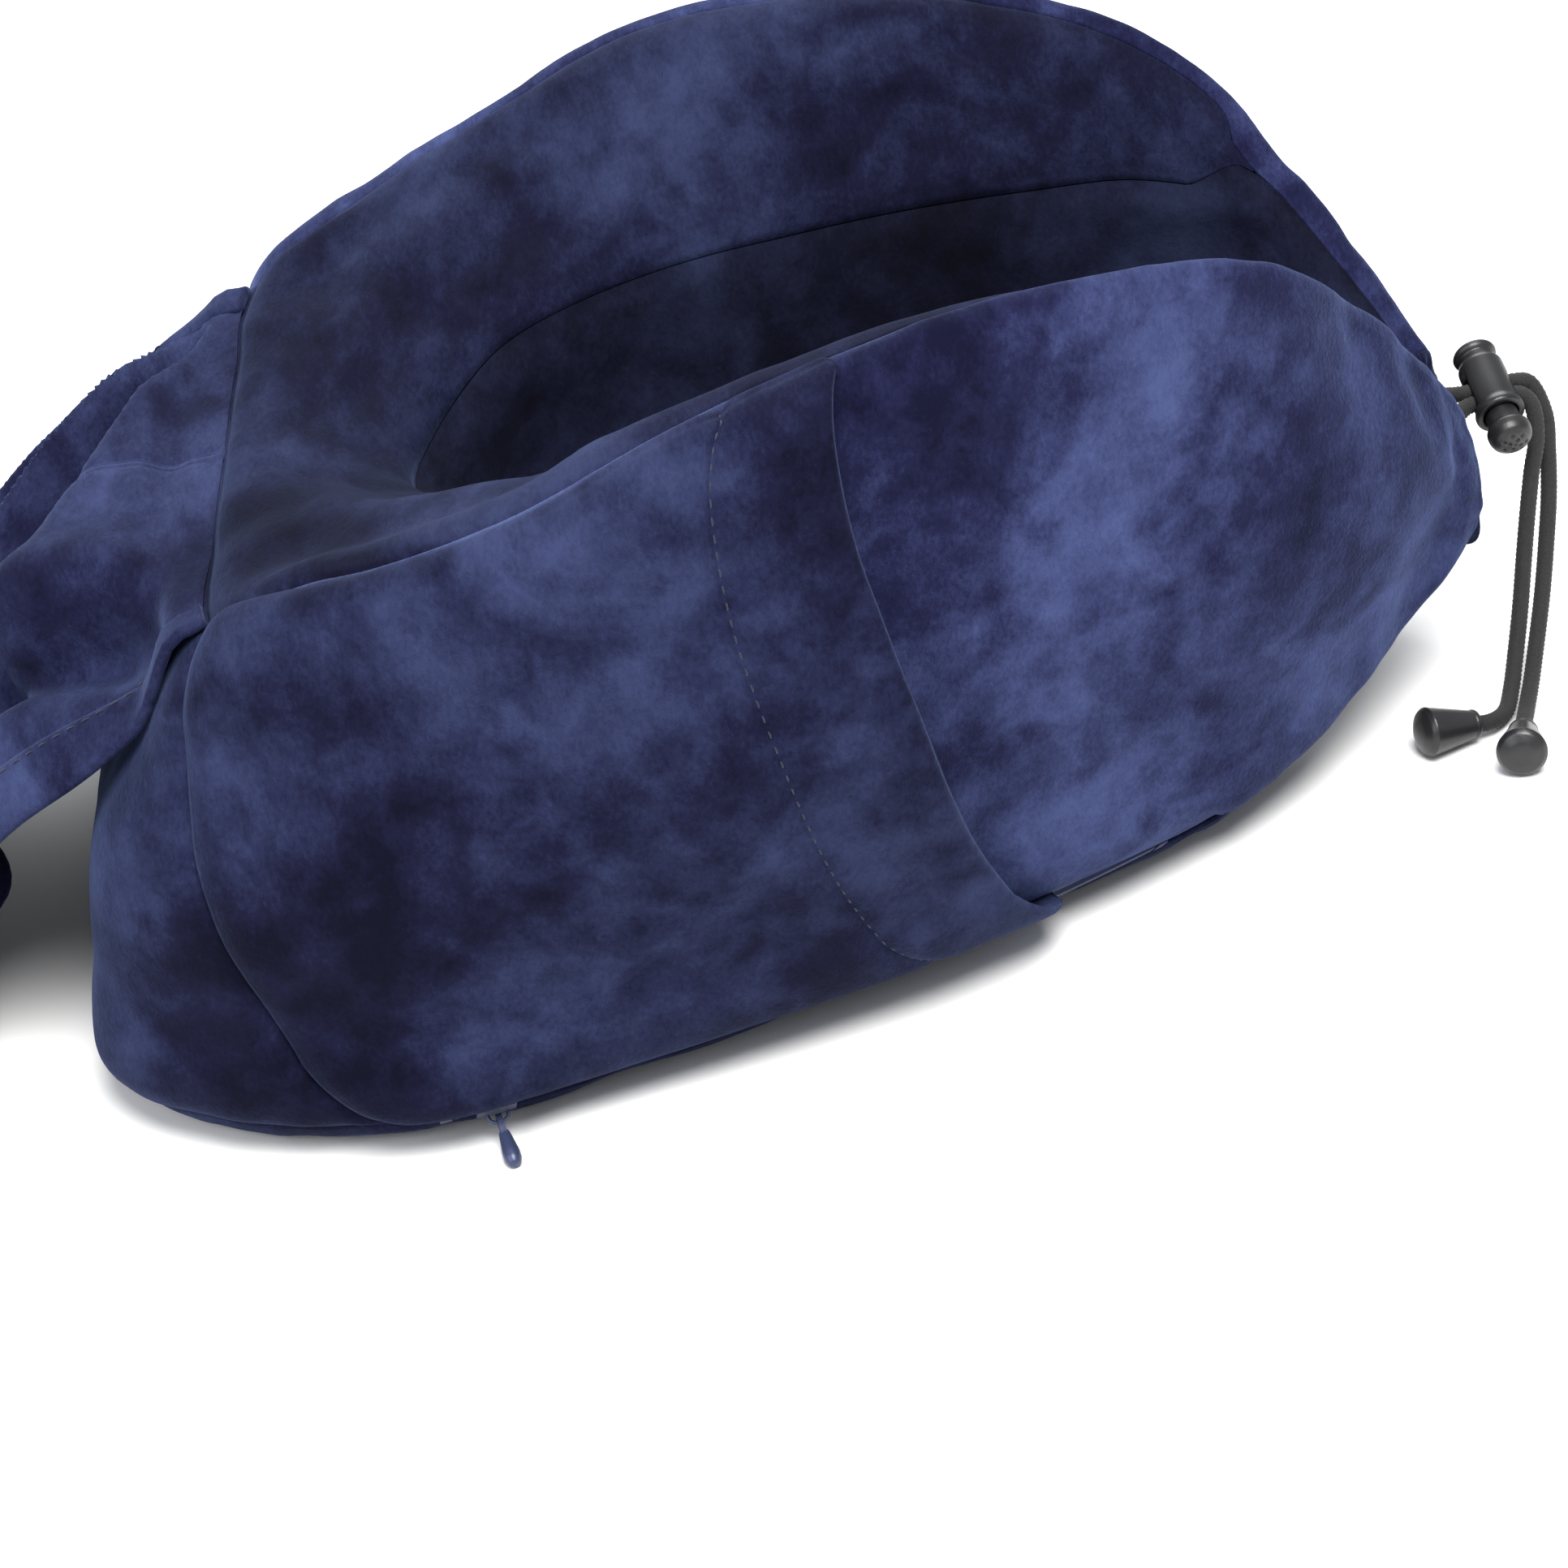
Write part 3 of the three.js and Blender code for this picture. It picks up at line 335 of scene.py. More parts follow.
def mesh_object(name, points, faces, material, body, nodes=(), flat=False):
    """A mesh from points in millimetres, riding on a body."""
    mesh = bpy.data.meshes.new(name)
    mesh.from_pydata([tuple(p) for p in np.asarray(points).reshape(-1, 3) * MM], [], faces)
    mesh.validate()
    mesh.update()
    if not flat:
        mesh.polygons.foreach_set("use_smooth", [True] * len(mesh.polygons))
    mesh.materials.append(material)
    obj = placed(name, mesh)
    if body:
        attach(obj, body)
    if nodes:
        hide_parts(*nodes)
    return obj


def shell_faces(rows, columns):
    """Faces of a closed thin shell on two grids of (rows, columns) points, the outer one first."""
    half = rows * columns
    at = np.arange(half).reshape(rows, columns)
    a, b, c, d = at[:-1, :-1], at[:-1, 1:], at[1:, 1:], at[1:, :-1]
    outer = np.stack([a, b, c, d], -1).reshape(-1, 4)
    inner = np.stack([a, d, c, b], -1).reshape(-1, 4) + half
    ring = np.concatenate([at[0, :-1], at[:-1, -1], at[-1, :0:-1], at[:0:-1, 0]])
    following = np.roll(ring, -1)
    rim = np.stack([ring, ring + half, following + half, following], -1)
    return np.concatenate([outer, inner, rim]).tolist()


def shell_object(name, outer, inner, material, body, nodes=()):
    rows, columns = outer.shape[:2]
    points = np.concatenate([outer.reshape(-1, 3), inner.reshape(-1, 3)])
    return mesh_object(name, points, shell_faces(rows, columns), material, body, nodes)


# ---- Body surface, as in the CAD source -------------------
COVER_OUTER = 1.6
ARC_X, ARC_Y, ARC_RADIUS = -121.4, 333.5, 485.0


def arm_hem(x, z=0.0):
    return (x, math.sqrt(ARC_RADIUS**2 - (x - ARC_X) ** 2) - ARC_Y, z)


HEM = [(-103, 0, 0), (-104, 56, 0), (-100, 107, 0), (-68, 134, 0), arm_hem(-30), arm_hem(4), arm_hem(42),
       arm_hem(80), arm_hem(116), arm_hem(146, 3), (170, 49, 10), (185, 34, 18), (196, 25, 24),
       (203.1, 17.8, 28)]
RIDGE = [(-60, 0, 93), (-60, 44, 93), (-57, 86, 95), (-46, 99, 101), (-24, 111, 108), (6, 118, 118),
         (38, 117, 131), (69, 108, 137), (104, 95, 139), (137, 78, 134), (161, 60, 121), (176, 42, 102),
         (190, 26, 81), (200.2, 14.3, 62)]
COLLAR = [(-20, 0, 79), (-14, 22, 82), (-3, 37, 88), (4, 43, 90), (13, 47, 92), (26, 51, 94), (44, 54, 96),
          (66, 56, 97), (91, 57, 98), (120, 54, 99), (146, 47, 100), (166, 34, 96), (182, 17, 78),
          (194.4, 7.4, 62)]
FOOT = [(-9, 0, 0), (-4, 20, 0), (5, 34, 0), (12, 40, 0), (19, 43, 0), (30, 46, 0), (47, 48, 0), (67, 49, 0),
        (91, 49, 0), (118, 45, 2), (144, 35, 8), (166, 20, 17), (182, 10, 23), (191.6, 4, 29)]
LAST = len(HEM) - 1
ROUNDS = [22.0, 26.0, 20.0, 14.0]
BULGES = [6.0, 5.0, 5.0, 0.0]
FACE_HALF = 0.25


def edge_curve(points, lift):
    left = [(x, y, z + lift) for x, y, z in points]
    right = [(x, -y, z) for x, y, z in reversed(left[1:])]
    return catmull(right + left)


LIFTED_EDGES = ((HEM, COVER_OUTER), (RIDGE, 0), (COLLAR, 0), (FOOT, COVER_OUTER))
EDGE_CURVES = [edge_curve(points, lift) for points, lift in LIFTED_EDGES]


def unit(vectors):
    return vectors / np.maximum(np.linalg.norm(vectors, axis=-1, keepdims=True), 1e-9)


def edge_points(station):
    share = (station + LAST) / (2 * LAST)
    return [curve(share) for curve in EDGE_CURVES]


def reach_of(points, edge):
    before = np.linalg.norm(points[edge] - points[(edge + 3) % 4], axis=-1, keepdims=True)
    after = np.linalg.norm(points[edge] - points[(edge + 1) % 4], axis=-1, keepdims=True)
    return np.minimum(ROUNDS[edge], 0.42 * np.minimum(before, after))


def corner_arc(corners, edge, share):
    reach = reach_of(corners, edge)
    corner = corners[edge]
    start = corner + unit(corners[(edge + 3) % 4] - corner) * reach
    end = corner + unit(corners[(edge + 1) % 4] - corner) * reach
    s = share[..., None] if np.ndim(share) else share
    return (1 - s) ** 2 * start + 2 * s * (1 - s) * corner + s**2 * end


def body_point(station, turn):
    station, turn = np.broadcast_arrays(np.asarray(station, float), np.asarray(turn, float))
    wrapped = np.mod(turn, 4)
    face = np.minimum(np.floor(wrapped).astype(int), 3)
    share = wrapped - face
    points = edge_points(station)
    corners = [p.copy() for p in points]
    for edge in (1, 2):
        toward = unit(points[(edge + 3) % 4] - points[edge]) + unit(points[(edge + 1) % 4] - points[edge])
        corners[edge] = points[edge] - toward * reach_of(points, edge) / 4
    spine = unit(sum(edge_points(station + 0.05)) - sum(edge_points(station - 0.05)))
    result = np.zeros(station.shape + (3,))
    for f in range(4):
        following = (f + 1) % 4
        early = corner_arc(corners, f, 0.5 + 0.5 * share / FACE_HALF)
        late = corner_arc(corners, following, 0.5 * (share - 1 + FACE_HALF) / FACE_HALF)
        start = corner_arc(corners, f, 1.0)
        end = corner_arc(corners, following, 0.0)
        along = ((share - FACE_HALF) / (1 - 2 * FACE_HALF))[..., None]
        length = np.linalg.norm(end - start, axis=-1, keepdims=True)
        outward = -unit(np.cross(spine, end - start))
        crown = np.minimum(BULGES[f], 0.08 * length) * np.sin(np.pi * np.clip(along, 0, 1)) ** 2
        middle = start + (end - start) * along + outward * crown
        part = np.where((share > 1 - FACE_HALF)[..., None], late, middle)
        part = np.where((share < FACE_HALF)[..., None], early, part)
        result = np.where((face == f)[..., None], part, result)
    return result


PROBE = 0.02


def body_normal(station, turn):
    station, turn = np.broadcast_arrays(np.asarray(station, float), np.asarray(turn, float))
    low = np.maximum(station - PROBE, -LAST)
    high = np.minimum(station + PROBE, LAST)
    along = body_point(high, turn) - body_point(low, turn)
    around = body_point(station, turn + PROBE) - body_point(station, turn - PROBE)
    return unit(np.cross(around, along))


def merged(station):
    return 0.5 * smooth(np.abs(station), 10.4, 11.2)


def ridge_turn(station):
    return np.minimum(1.5, 1 + 0.12 * smooth(np.abs(station), 2, 3.5) + merged(station))


def collar_turn(station):
    return 2 - merged(station)


def side_seam(turn):
    return 3.8 + (2 - 3.8) * np.clip(turn, 0, 1)


def turn_for(station, turn, length):
    span = np.linalg.norm(body_point(station, turn + PROBE) - body_point(station, turn - PROBE), axis=-1)
    return length * 2 * PROBE / span


# ---- Padded cover panels ----------------------------------
SEAM_DEPTH = 2.0
SEAM_WIDTH = 3.6
STEP = 2.0                      # spacing of the panels' grid lines
SIM_ROWS, SIM_COLUMNS = 190, 64
SIM_FRAMES = 20
SWELL_CAP = 5.0                 # the most that the simulated cloth may move, in millimetres


def on_seam(station, turn):
    """True where a seam holds the cloth of the simulated cover."""
    side = np.mod(turn, 4)
    near = np.minimum.reduce([
        np.abs(side - ridge_turn(station)),
        np.abs(side - collar_turn(station)),
        np.abs(side - 3),
        side,
        4 - side,
    ])
    seam = near < 0.04
    slant = (side < 1.05) & (np.abs(np.abs(station) - side_seam(side)) < 0.09)
    return seam | slant | (np.abs(station) > 12.6)


def simulate_cover():
    """Blows the cover up between its seams with cloth simulation; returns how far it moved outwards."""
    stations, turns = np.meshgrid(
        np.linspace(-LAST, LAST, SIM_ROWS), np.arange(SIM_COLUMNS) * 4 / SIM_COLUMNS, indexing="ij",
    )
    start = body_point(stations, turns)
    normals = body_normal(stations, turns)
    at = np.arange(SIM_ROWS * SIM_COLUMNS).reshape(SIM_ROWS, SIM_COLUMNS)
    following = np.roll(at, -1, axis=1)
    faces = np.stack([at[:-1], following[:-1], following[1:], at[1:]], -1).reshape(-1, 4).tolist()
    faces += [tuple(at[0][::-1]), tuple(at[-1])]
    mesh = bpy.data.meshes.new("cover_simulation")
    mesh.from_pydata([tuple(p) for p in start.reshape(-1, 3) * MM], [], faces)
    mesh.update()
    cover = placed("cover_simulation", mesh)
    held = cover.vertex_groups.new(name="seams")
    held.add(np.flatnonzero(on_seam(stations, turns).reshape(-1)).tolist(), 1.0, "REPLACE")
    cloth = cover.modifiers.new("cloth", "CLOTH")
    cloth.settings.quality = 5
    cloth.settings.use_pressure = True
    cloth.settings.uniform_pressure_force = 4
    cloth.settings.shrink_min = -0.035
    cloth.settings.vertex_group_mass = "seams"
    cloth.settings.effector_weights.gravity = 0
    cloth.collision_settings.use_collision = False
    scene = bpy.context.scene
    for step in range(1, SIM_FRAMES + 1):
        scene.frame_set(step)
    shaped = cover.evaluated_get(bpy.context.evaluated_depsgraph_get()).to_mesh()
    moved = np.empty(len(shaped.vertices) * 3)
    shaped.vertices.foreach_get("co", moved)
    moved = moved.reshape(start.shape) / MM - start
    bpy.data.objects.remove(cover)
    scene.frame_set(1)
    out = np.sum(moved * normals, -1)
    return np.clip(out, -SWELL_CAP, SWELL_CAP)


def blurred(grid, passes):
    for _ in range(passes):
        padded = np.pad(grid, ((1, 1), (0, 0)), mode="edge")
        grid = (padded[:-2] + padded[1:-1] + padded[2:]) / 3
        grid = (np.roll(grid, 1, axis=1) + grid + np.roll(grid, -1, axis=1)) / 3
    return grid


def sampled(grid, station, turn):
    """The grid's value at any station and turn."""
    i = (station + LAST) / (2 * LAST) * (SIM_ROWS - 1)
    j = np.mod(turn, 4) / 4 * SIM_COLUMNS
    i0 = np.clip(np.floor(i).astype(int), 0, SIM_ROWS - 2)
    j0 = np.floor(j).astype(int)
    fi, fj = i - i0, j - j0
    j0, j1 = j0 % SIM_COLUMNS, (j0 + 1) % SIM_COLUMNS
    low = grid[i0, j0] * (1 - fj) + grid[i0, j1] * fj
    high = grid[i0 + 1, j0] * (1 - fj) + grid[i0 + 1, j1] * fj
    return low * (1 - fi) + high * fi


blown = simulate_cover()
broad = blurred(blown, 14)
swelling = 0.25 * (broad - broad.mean()) + 0.8 * (blurred(blown, 1) - broad)


def plump(points, stations, turns, near_seam):
    """How far the cover stands off the body surface: pulled in at seams, puckered beside them."""
    ease = 1 - np.exp(-near_seam / 5)
    swell = layered_noise(points, (0.6, 46, 1), (0.3, 19, 2), (0.12, 8, 3))
    swell = swell + sampled(swelling, stations, turns) * ease
    groove = -SEAM_DEPTH * np.exp(-(near_seam / SEAM_WIDTH) ** 1.6)
    pucker = 0.5 * np.exp(-near_seam / 9) * (1 - np.exp(-near_seam / 1.2)) * value_noise(points, 6.5, 4)
    tip = smooth(np.abs(stations), 10.5, 12.8)
    gather = 0.7 * tip * value_noise(points * np.array([0.22, 0.22, 1]), 3.6, 5)
    gather = gather * (1 - np.exp(-near_seam / 3))
    return COVER_OUTER + swell + groove + pucker + gather


def panel_object(name, stations, turns, seam_ends=(True, True), material=VELOUR):
    """stations and turns are grids; the four edges are seams where seam_ends and the sides say so."""
    points = body_point(stations, turns)
    normals = body_normal(stations, turns)
    left, right = cumulative(points, 1)
    first, last = cumulative(points, 0)
    near = np.minimum(left, right)
    for wanted, distance in zip(seam_ends, (first, last)):
        if wanted:
            near = np.minimum(near, distance)
    offset = plump(points, stations, turns, near)
    outer = points + normals * offset[..., None]
    outer[..., 2] = np.maximum(outer[..., 2], 0.0)
    inner = points + normals * (np.minimum(offset - 1.2, 0.4))[..., None]
    inner[..., 2] = np.maximum(inner[..., 2], 0.5)
    obj = shell_object(name + "_looks", outer, inner, material, "pillow", [name])
    return obj


def rows_for(first, last):
    count = max(8, int(abs(last - first) * 34 / STEP))
    return np.linspace(first, last, count)


def panel_grid(stations, low, high, columns, low_gap=0.12, high_gap=0.12):
    across = np.linspace(0, 1, columns)
    start = low + turn_for(stations, low, low_gap)
    end = high - turn_for(stations, high, high_gap)
    turns = start[:, None] + (end - start)[:, None] * across[None, :]
    return np.broadcast_to(stations[:, None], turns.shape).copy(), turns


def zip_gap(stations):
    opens = smooth(-stations, 3.75, 3.9)
    closes = smooth(-stations, 8.6, 8.75)
    return 0.12 + 3.9 * opens * (1 - closes)


TOP_END = 10.95
rows = rows_for(-TOP_END, TOP_END)
panel_object("cover_top_panel", *panel_grid(rows, ridge_turn(rows), collar_turn(rows), 34),
             material=VELOUR_TOP_PAINTED_SHADE)
rows = rows_for(-LAST, LAST)
panel_object("cover_neck_panel", *panel_grid(rows, collar_turn(rows), np.full_like(rows, 3.0), 50),
             seam_ends=(False, False), material=VELOUR_NECK_PAINTED_SHADE)
low, high = np.full_like(rows, 3.0), np.full_like(rows, 4.0)
panel_object("cover_bottom_panel", *panel_grid(rows, low, high, 34, 0.12, zip_gap(rows)),
             seam_ends=(False, False))

across = np.linspace(0, 1, 60)
share = np.linspace(0, 1, 130)
end = side_seam(across) - 0.003
stations = (2 * share - 1)[:, None] * end[None, :]
start = turn_for(stations, np.zeros_like(stations), 0.12)
stop = 1 - turn_for(stations, np.ones_like(stations), 0.12)
panel_object("cover_back_panel", stations, start + (stop - start) * across[None, :])

for side, sign in (("left", 1), ("right", -1)):
    share = np.linspace(0, 1, 190)
    first = side_seam(across) + 0.003
    stations = sign * (first[None, :] + share[:, None] * (LAST - first[None, :]))
    if sign < 0:
        stations = stations[::-1]
    gap = zip_gap(stations)
    start = turn_for(stations, np.zeros_like(stations), gap)
    high = ridge_turn(stations)
    stop = high - turn_for(stations, high, 0.12)
    ends = (True, False) if sign > 0 else (False, True)
    turns = start + (stop - start) * across[None, :]
    panel_object(f"cover_side_panel_{side}", stations, turns, ends, VELOUR_SIDE_PAINTED_LIGHT)


# ---- Side pocket ------------------------------------------
POCKET_GAPE = 13.0
POCKET_HEM = 0.72


def mouth_station(turn):
    across = np.clip((turn - 0.09) / 0.87, 0, 1)
    return 6.72 + 0.8 * (1 - across) ** 3 + 0.3 * across**6


def pocket_stand(station, turn):
    across = np.clip((turn - 0.05) / 0.95, 0, 1)
    opening = smooth(station, 4.2, mouth_station(turn))
    return POCKET_GAPE * opening * np.sin(np.pi * across) ** 0.8


def pocket_surface(station, turn, lift):
    """Points on the pocket's cloth: it is sewn in at the rear, top and bottom, and gapes at its mouth."""
    points = body_point(-station, turn)
    normals = body_normal(-station, turn)
    low, high = cumulative(points, 1)
    first, last = cumulative(points, 0)
    sewn = np.minimum(low, high)
    tucked = -3.4 * np.exp(-(sewn / 4.2) ** 1.5)
    swell = layered_noise(points, (0.9, 40, 11), (0.6, 15, 12), (0.25, 7, 13))
    ease = 1 - np.exp(-sewn / 5)
    offset = 3.0 + pocket_stand(station, turn) + tucked + swell * ease + lift * ease
    return points, normals, offset, sewn, first, last


across = np.linspace(0, 1, 84)
top = 1.105
turns = 0.008 + (top - 0.008) * across
rear = side_seam(turns) + 0.012
mouth = mouth_station(turns)
hem_start = mouth - POCKET_HEM

share = np.linspace(0, 1, 96)
stations = rear[None, :] + share[:, None] * (hem_start + 0.02 - rear)[None, :]
grid = np.broadcast_to(turns[None, :], stations.shape)
points, normals, offset, sewn, first, last = pocket_surface(stations, grid, 0.0)
offset = offset - 2.0 * np.exp(-(first / 3.2) ** 1.5) - 0.9 * np.exp(-(last / 2.2) ** 2)
outer = points + normals * offset[..., None]
inner = points + normals * (offset - 1.2)[..., None]
pocket = shell_object("pocket_panel_looks", outer[::-1], inner[::-1], VELOUR, "pillow",
                      ["pocket_panel"])

share = np.linspace(0, 1, 34)
stations = (hem_start - 0.01)[None, :] + share[:, None] * (mouth - hem_start + 0.01)[None, :]
grid = np.broadcast_to(turns[None, :], stations.shape)
points, normals, offset, sewn, first, last = pocket_surface(stations, grid, 0.5)
rolled = 1.5 * np.clip(1 - last / 1.6, 0, 1) ** 2
stitched = 1.5 * np.exp(-(first / 2.2) ** 2)
outer = points + normals * (offset - stitched - rolled)[..., None]
thickness = 1.0 + 1.7 * (1 - np.exp(-sewn / 4))
inner = points + normals * (offset - thickness + 0.6 * rolled)[..., None]
hem = shell_object("pocket_hem_looks", outer[::-1], inner[::-1], VELOUR, "pillow", ["pocket_hem"])


# ---- Stitches ---------------------------------------------
def stitch_row(name, points, normals, body, spacing=3.2, length=2.0, radius=0.22, sink=0.15):
    """Short rounded thread stitches along a line of points."""
    steps = np.linalg.norm(np.diff(points, axis=0), axis=1)
    along = np.concatenate([[0], np.cumsum(steps)])
    sides = 6
    vertices, faces = [], []
    for middle in np.arange(spacing, along[-1] - spacing, spacing):
        rings = []
        for t in np.linspace(-0.5, 0.5, 5):
            at = middle + t * length
            p = np.array([np.interp(at, along, points[:, k]) for k in range(3)])
            n = unit(np.array([np.interp(at, along, normals[:, k]) for k in range(3)]))
            rings.append((p + n * (radius * math.cos(math.pi * t) - sink), n, t))
        heading = unit(rings[-1][0] - rings[0][0])
        base = len(vertices)
        for p, n, t in rings:
            side = np.cross(heading, n)
            r = radius * (0.35 + 0.65 * math.cos(math.pi * t) ** 0.5)
            for s in range(sides):
                turn = 2 * math.pi * s / sides
                vertices.append(p + r * (math.cos(turn) * side + math.sin(turn) * n))
        for k in range(4):
            for s in range(sides):
                a, b = base + k * sides + s, base + k * sides + (s + 1) % sides
                faces.append((a, b, b + sides, a + sides))
        faces.append(tuple(base + s for s in reversed(range(sides))))
        faces.append(tuple(base + 4 * sides + s for s in range(sides)))
    return mesh_object(name, vertices, faces, THREAD, body)


line = slice(3, -3)
stations, grid = (np.broadcast_to(x, (2, len(turns))) for x in (hem_start + 0.02, turns))
points, normals, offset = (x[0, line] for x in pocket_surface(stations, grid, 0.3)[:3])
stitch_row("pocket_stitches", points + normals * (offset - 1.0)[:, None], normals, "pillow")

# ---- Hood -------------------------------------------------
HOOD_PROFILE = [(-63.5, 95.8), (-88, 90), (-113, 75), (-134, 49), (-148, 21), (-165, 4.5),
                (-186, 1.2), (-199, 6), (-204.2, 21), (-199, 37)]
HOOD_HALF_WIDTH = [84, 87, 84, 82, 84, 88, 88, 84, 78, 70]
HOOD_SIDE_LIFT = [-2, -11, -14, -8, 6, 16, 22, 20, 12, 6]
HOOD_LENGTH = 250.0
HOOD_HEM = 13.0
HOOD_SEAT = 17.0                # how far below the ridge seam the hood still lies on the pillow
HOOD_SEAT_STATION = 1.95
hood_curve = catmull([(x, w, z) for (x, z), w in zip(HOOD_PROFILE, HOOD_HALF_WIDTH)])
hood_lift = catmull([(i, lift, 0) for i, lift in enumerate(HOOD_SIDE_LIFT)])


def hood_point(across, down):
    middle = hood_curve(down)
    lift = hood_lift(down)[..., 1]
    near = smooth(-across, 0.5, 1.0) * smooth(down, 0, 0.07) * (1 - smooth(down, 0.35, 0.6))
    far = smooth(across, 0.3, 1.0) * smooth(down, 0.03, 0.35) * (1 - smooth(down, 0.6, 0.85))
    place = np.stack([middle[..., 0], across * middle[..., 1], middle[..., 2] + lift * across**4], -1)
    place = place + near[..., None] * np.array([3.0, -2.5, -9.0])
    place = place + far[..., None] * np.array([0, -10.0, -11.0])
    run = down * HOOD_LENGTH
    station = across * HOOD_SEAT_STATION
    ridge = ridge_turn(station)
    turn = ridge - turn_for(station, ridge - 0.05, np.minimum(run, HOOD_SEAT))
    height = 0.6 + 3.6 * smooth(run, 0, 7)
    seated = body_point(station, turn) + body_normal(station, turn) * height[..., None]
    leave = smooth(run, 3, HOOD_SEAT)[..., None]
    return seated + (place - seated) * leave


def hood_normal(across, down):
    step = 0.004
    sideways = hood_point(across + step, down) - hood_point(across - step, down)
    along = hood_point(across, np.minimum(down + step, 1)) - hood_point(across, np.maximum(down - step, 0))
    return -unit(np.cross(along, sideways))


def hood_folds(across, down):
    """Height of the folds: a fan of deep ones from the far corner, and a cheek over a hollow."""
    u, v = across * 86, down * HOOD_LENGTH
    run = np.hypot(84 - u, v)
    angle = np.degrees(np.arctan2(v, 84 - u))
    reach = smooth(run, 8, 50) * (1 - smooth(run, 150, 235))
    fan = -18 * np.exp(-((angle - 28) / 4.6) ** 2) - 15 * np.exp(-((angle - 43) / 4.0) ** 2)
    fan = fan + 7.0 * np.exp(-((angle - 36.5) / 2.4) ** 2) + 4.0 * np.exp(-((angle - 50) / 3.2) ** 2)
    fan = fan + 4.0 * np.exp(-((angle - 19) / 6) ** 2) - 6.0 * np.exp(-((angle - 58) / 3.5) ** 2)
    centre = -70 + 0.35 * v
    hollow = smooth(v, 4, 26) * (1 - smooth(v, 90, 150))
    cheek = hollow * (-13 * np.exp(-((u - centre) / 9) ** 2) + 5 * np.exp(-((u - centre - 20) / 12) ** 2))
    crown = smooth(v, 150, 215)
    crumple = value_noise(np.stack([u, v * 0.6, 0 * u], -1), 26, 21)
    crumple = crumple + 0.4 * value_noise(np.stack([u, v, 0 * u], -1), 11, 22)
    return fan * reach + cheek + crumple * (0.8 + 2.2 * crown)


def hood_surface(across, down, lift=0.0):
    points = hood_point(across, down)
    normals = hood_normal(across, down)
    keep = np.clip(np.minimum(down * HOOD_LENGTH / 12, 1), 0, 1)
    height = hood_folds(across, down) * keep + lift
    points = points + normals * height[..., None]
    return points, normals


def hood_piece(name, across, down, thickness, lift, edges, material, node):
    """A double-sided cloth shell of the hood; edges is how much its outer face is pulled down."""
    points, normals = hood_surface(across, down, lift)
    outer = points + normals * (thickness / 2 - edges)[..., None]
    inner = points - normals * (thickness / 2 - 0.5 * edges)[..., None]
    outer[..., 2] = np.maximum(outer[..., 2], 0.9)
    inner[..., 2] = np.maximum(inner[..., 2], 0.15)
    obj = shell_object(name, outer, inner, material, None, [node])
    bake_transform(obj)
    return obj, outer


hem_across = 1 - HOOD_HEM / 96
hem_down = 1 - HOOD_HEM / HOOD_LENGTH
hood_pieces = {}
for side, sign in (("left", 1), ("right", -1)):
    down = np.linspace(0, hem_down + 0.004, 150)
    reach = np.linspace(0, hem_across + 0.01, 76)
    across = sign * reach if sign > 0 else sign * reach[::-1]
    down, across = np.meshgrid(down, across, indexing="ij")
    inward = np.abs(across) * 86
    seam = 1.3 * np.exp(-(inward / 2.4) ** 1.6)
    base = 0.7 * np.exp(-(down * HOOD_LENGTH / 3.0) ** 1.6)
    rim_edge = 0.5 * np.exp(-((hem_across + 0.01 - np.abs(across)) * 86 / 1.5) ** 2)
    obj, outer = hood_piece(f"hood_{side}_looks", across, down, 1.2, 0.0, seam + base + rim_edge, VELOUR_HOOD_PAINTED_LIGHT,
                            f"hood_{side}")
    hood_pieces[side] = obj

legs = np.linspace(0, 3, 331)
hem_width = np.linspace(0, 1, 13)
inner_route = np.where((legs <= 1)[:, None], np.stack([-hem_across + 0 * legs, legs * hem_down], -1),
                       np.where((legs <= 2)[:, None],
                                np.stack([hem_across * (2 * (legs - 1) - 1), hem_down + 0 * legs], -1),
                                np.stack([hem_across + 0 * legs, (3 - legs) * hem_down], -1)))
outer_route = np.where((legs <= 1)[:, None], np.stack([-1 + 0 * legs, legs], -1),
                       np.where((legs <= 2)[:, None], np.stack([2 * (legs - 1) - 1, 1 + 0 * legs], -1),
                                np.stack([1 + 0 * legs, 3 - legs], -1)))
mix = outer_route[:, None, :] + (inner_route - outer_route)[:, None, :] * hem_width[None, :, None]
rounding = 0.9 * np.clip(1 - hem_width / 0.12, 0, 1) ** 2 + 0.7 * np.exp(-((1 - hem_width) / 0.1) ** 2)
rounding = np.broadcast_to(rounding[None, :], mix.shape[:2])
hem, hem_outer = hood_piece("hood_hem_looks", mix[..., 0], mix[..., 1], 2.4, 0.35, rounding, VELOUR_HOOD_PAINTED_LIGHT,
                            "hood_hem")
route = inner_route[6:-6]
points, normals = hood_surface(route[:, 0] * 1.02, route[:, 1], 0.35)
points = points + normals * 1.2
points[:, 2] = np.maximum(points[:, 2], 1.1)
stitches = stitch_row("hood_stitches", points, normals, None, spacing=3.4)
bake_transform(stitches)


# ---- Turned pieces: lock, bells, eyelets ------------------
def facing(direction, place):
    turn = Vector((0, 1, 0)).rotation_difference(Vector(direction).normalized())
    return Matrix.Translation(Vector(place)) @ turn.to_matrix().to_4x4()


def between(a, b, share):
    """The profile point that lies a share of the way from a to b."""
    return (a[0] + (b[0] - a[0]) * share, a[1] + (b[1] - a[1]) * share)


def refine(profile, spacing):
    """The profile with extra points, so that no step is longer than spacing."""
    fine = [profile[0]]
    for a, b in zip(profile, profile[1:]):
        count = max(1, int(math.dist(a, b) / spacing))
        fine += [between(a, b, k / count) for k in range(1, count + 1)]
    return fine


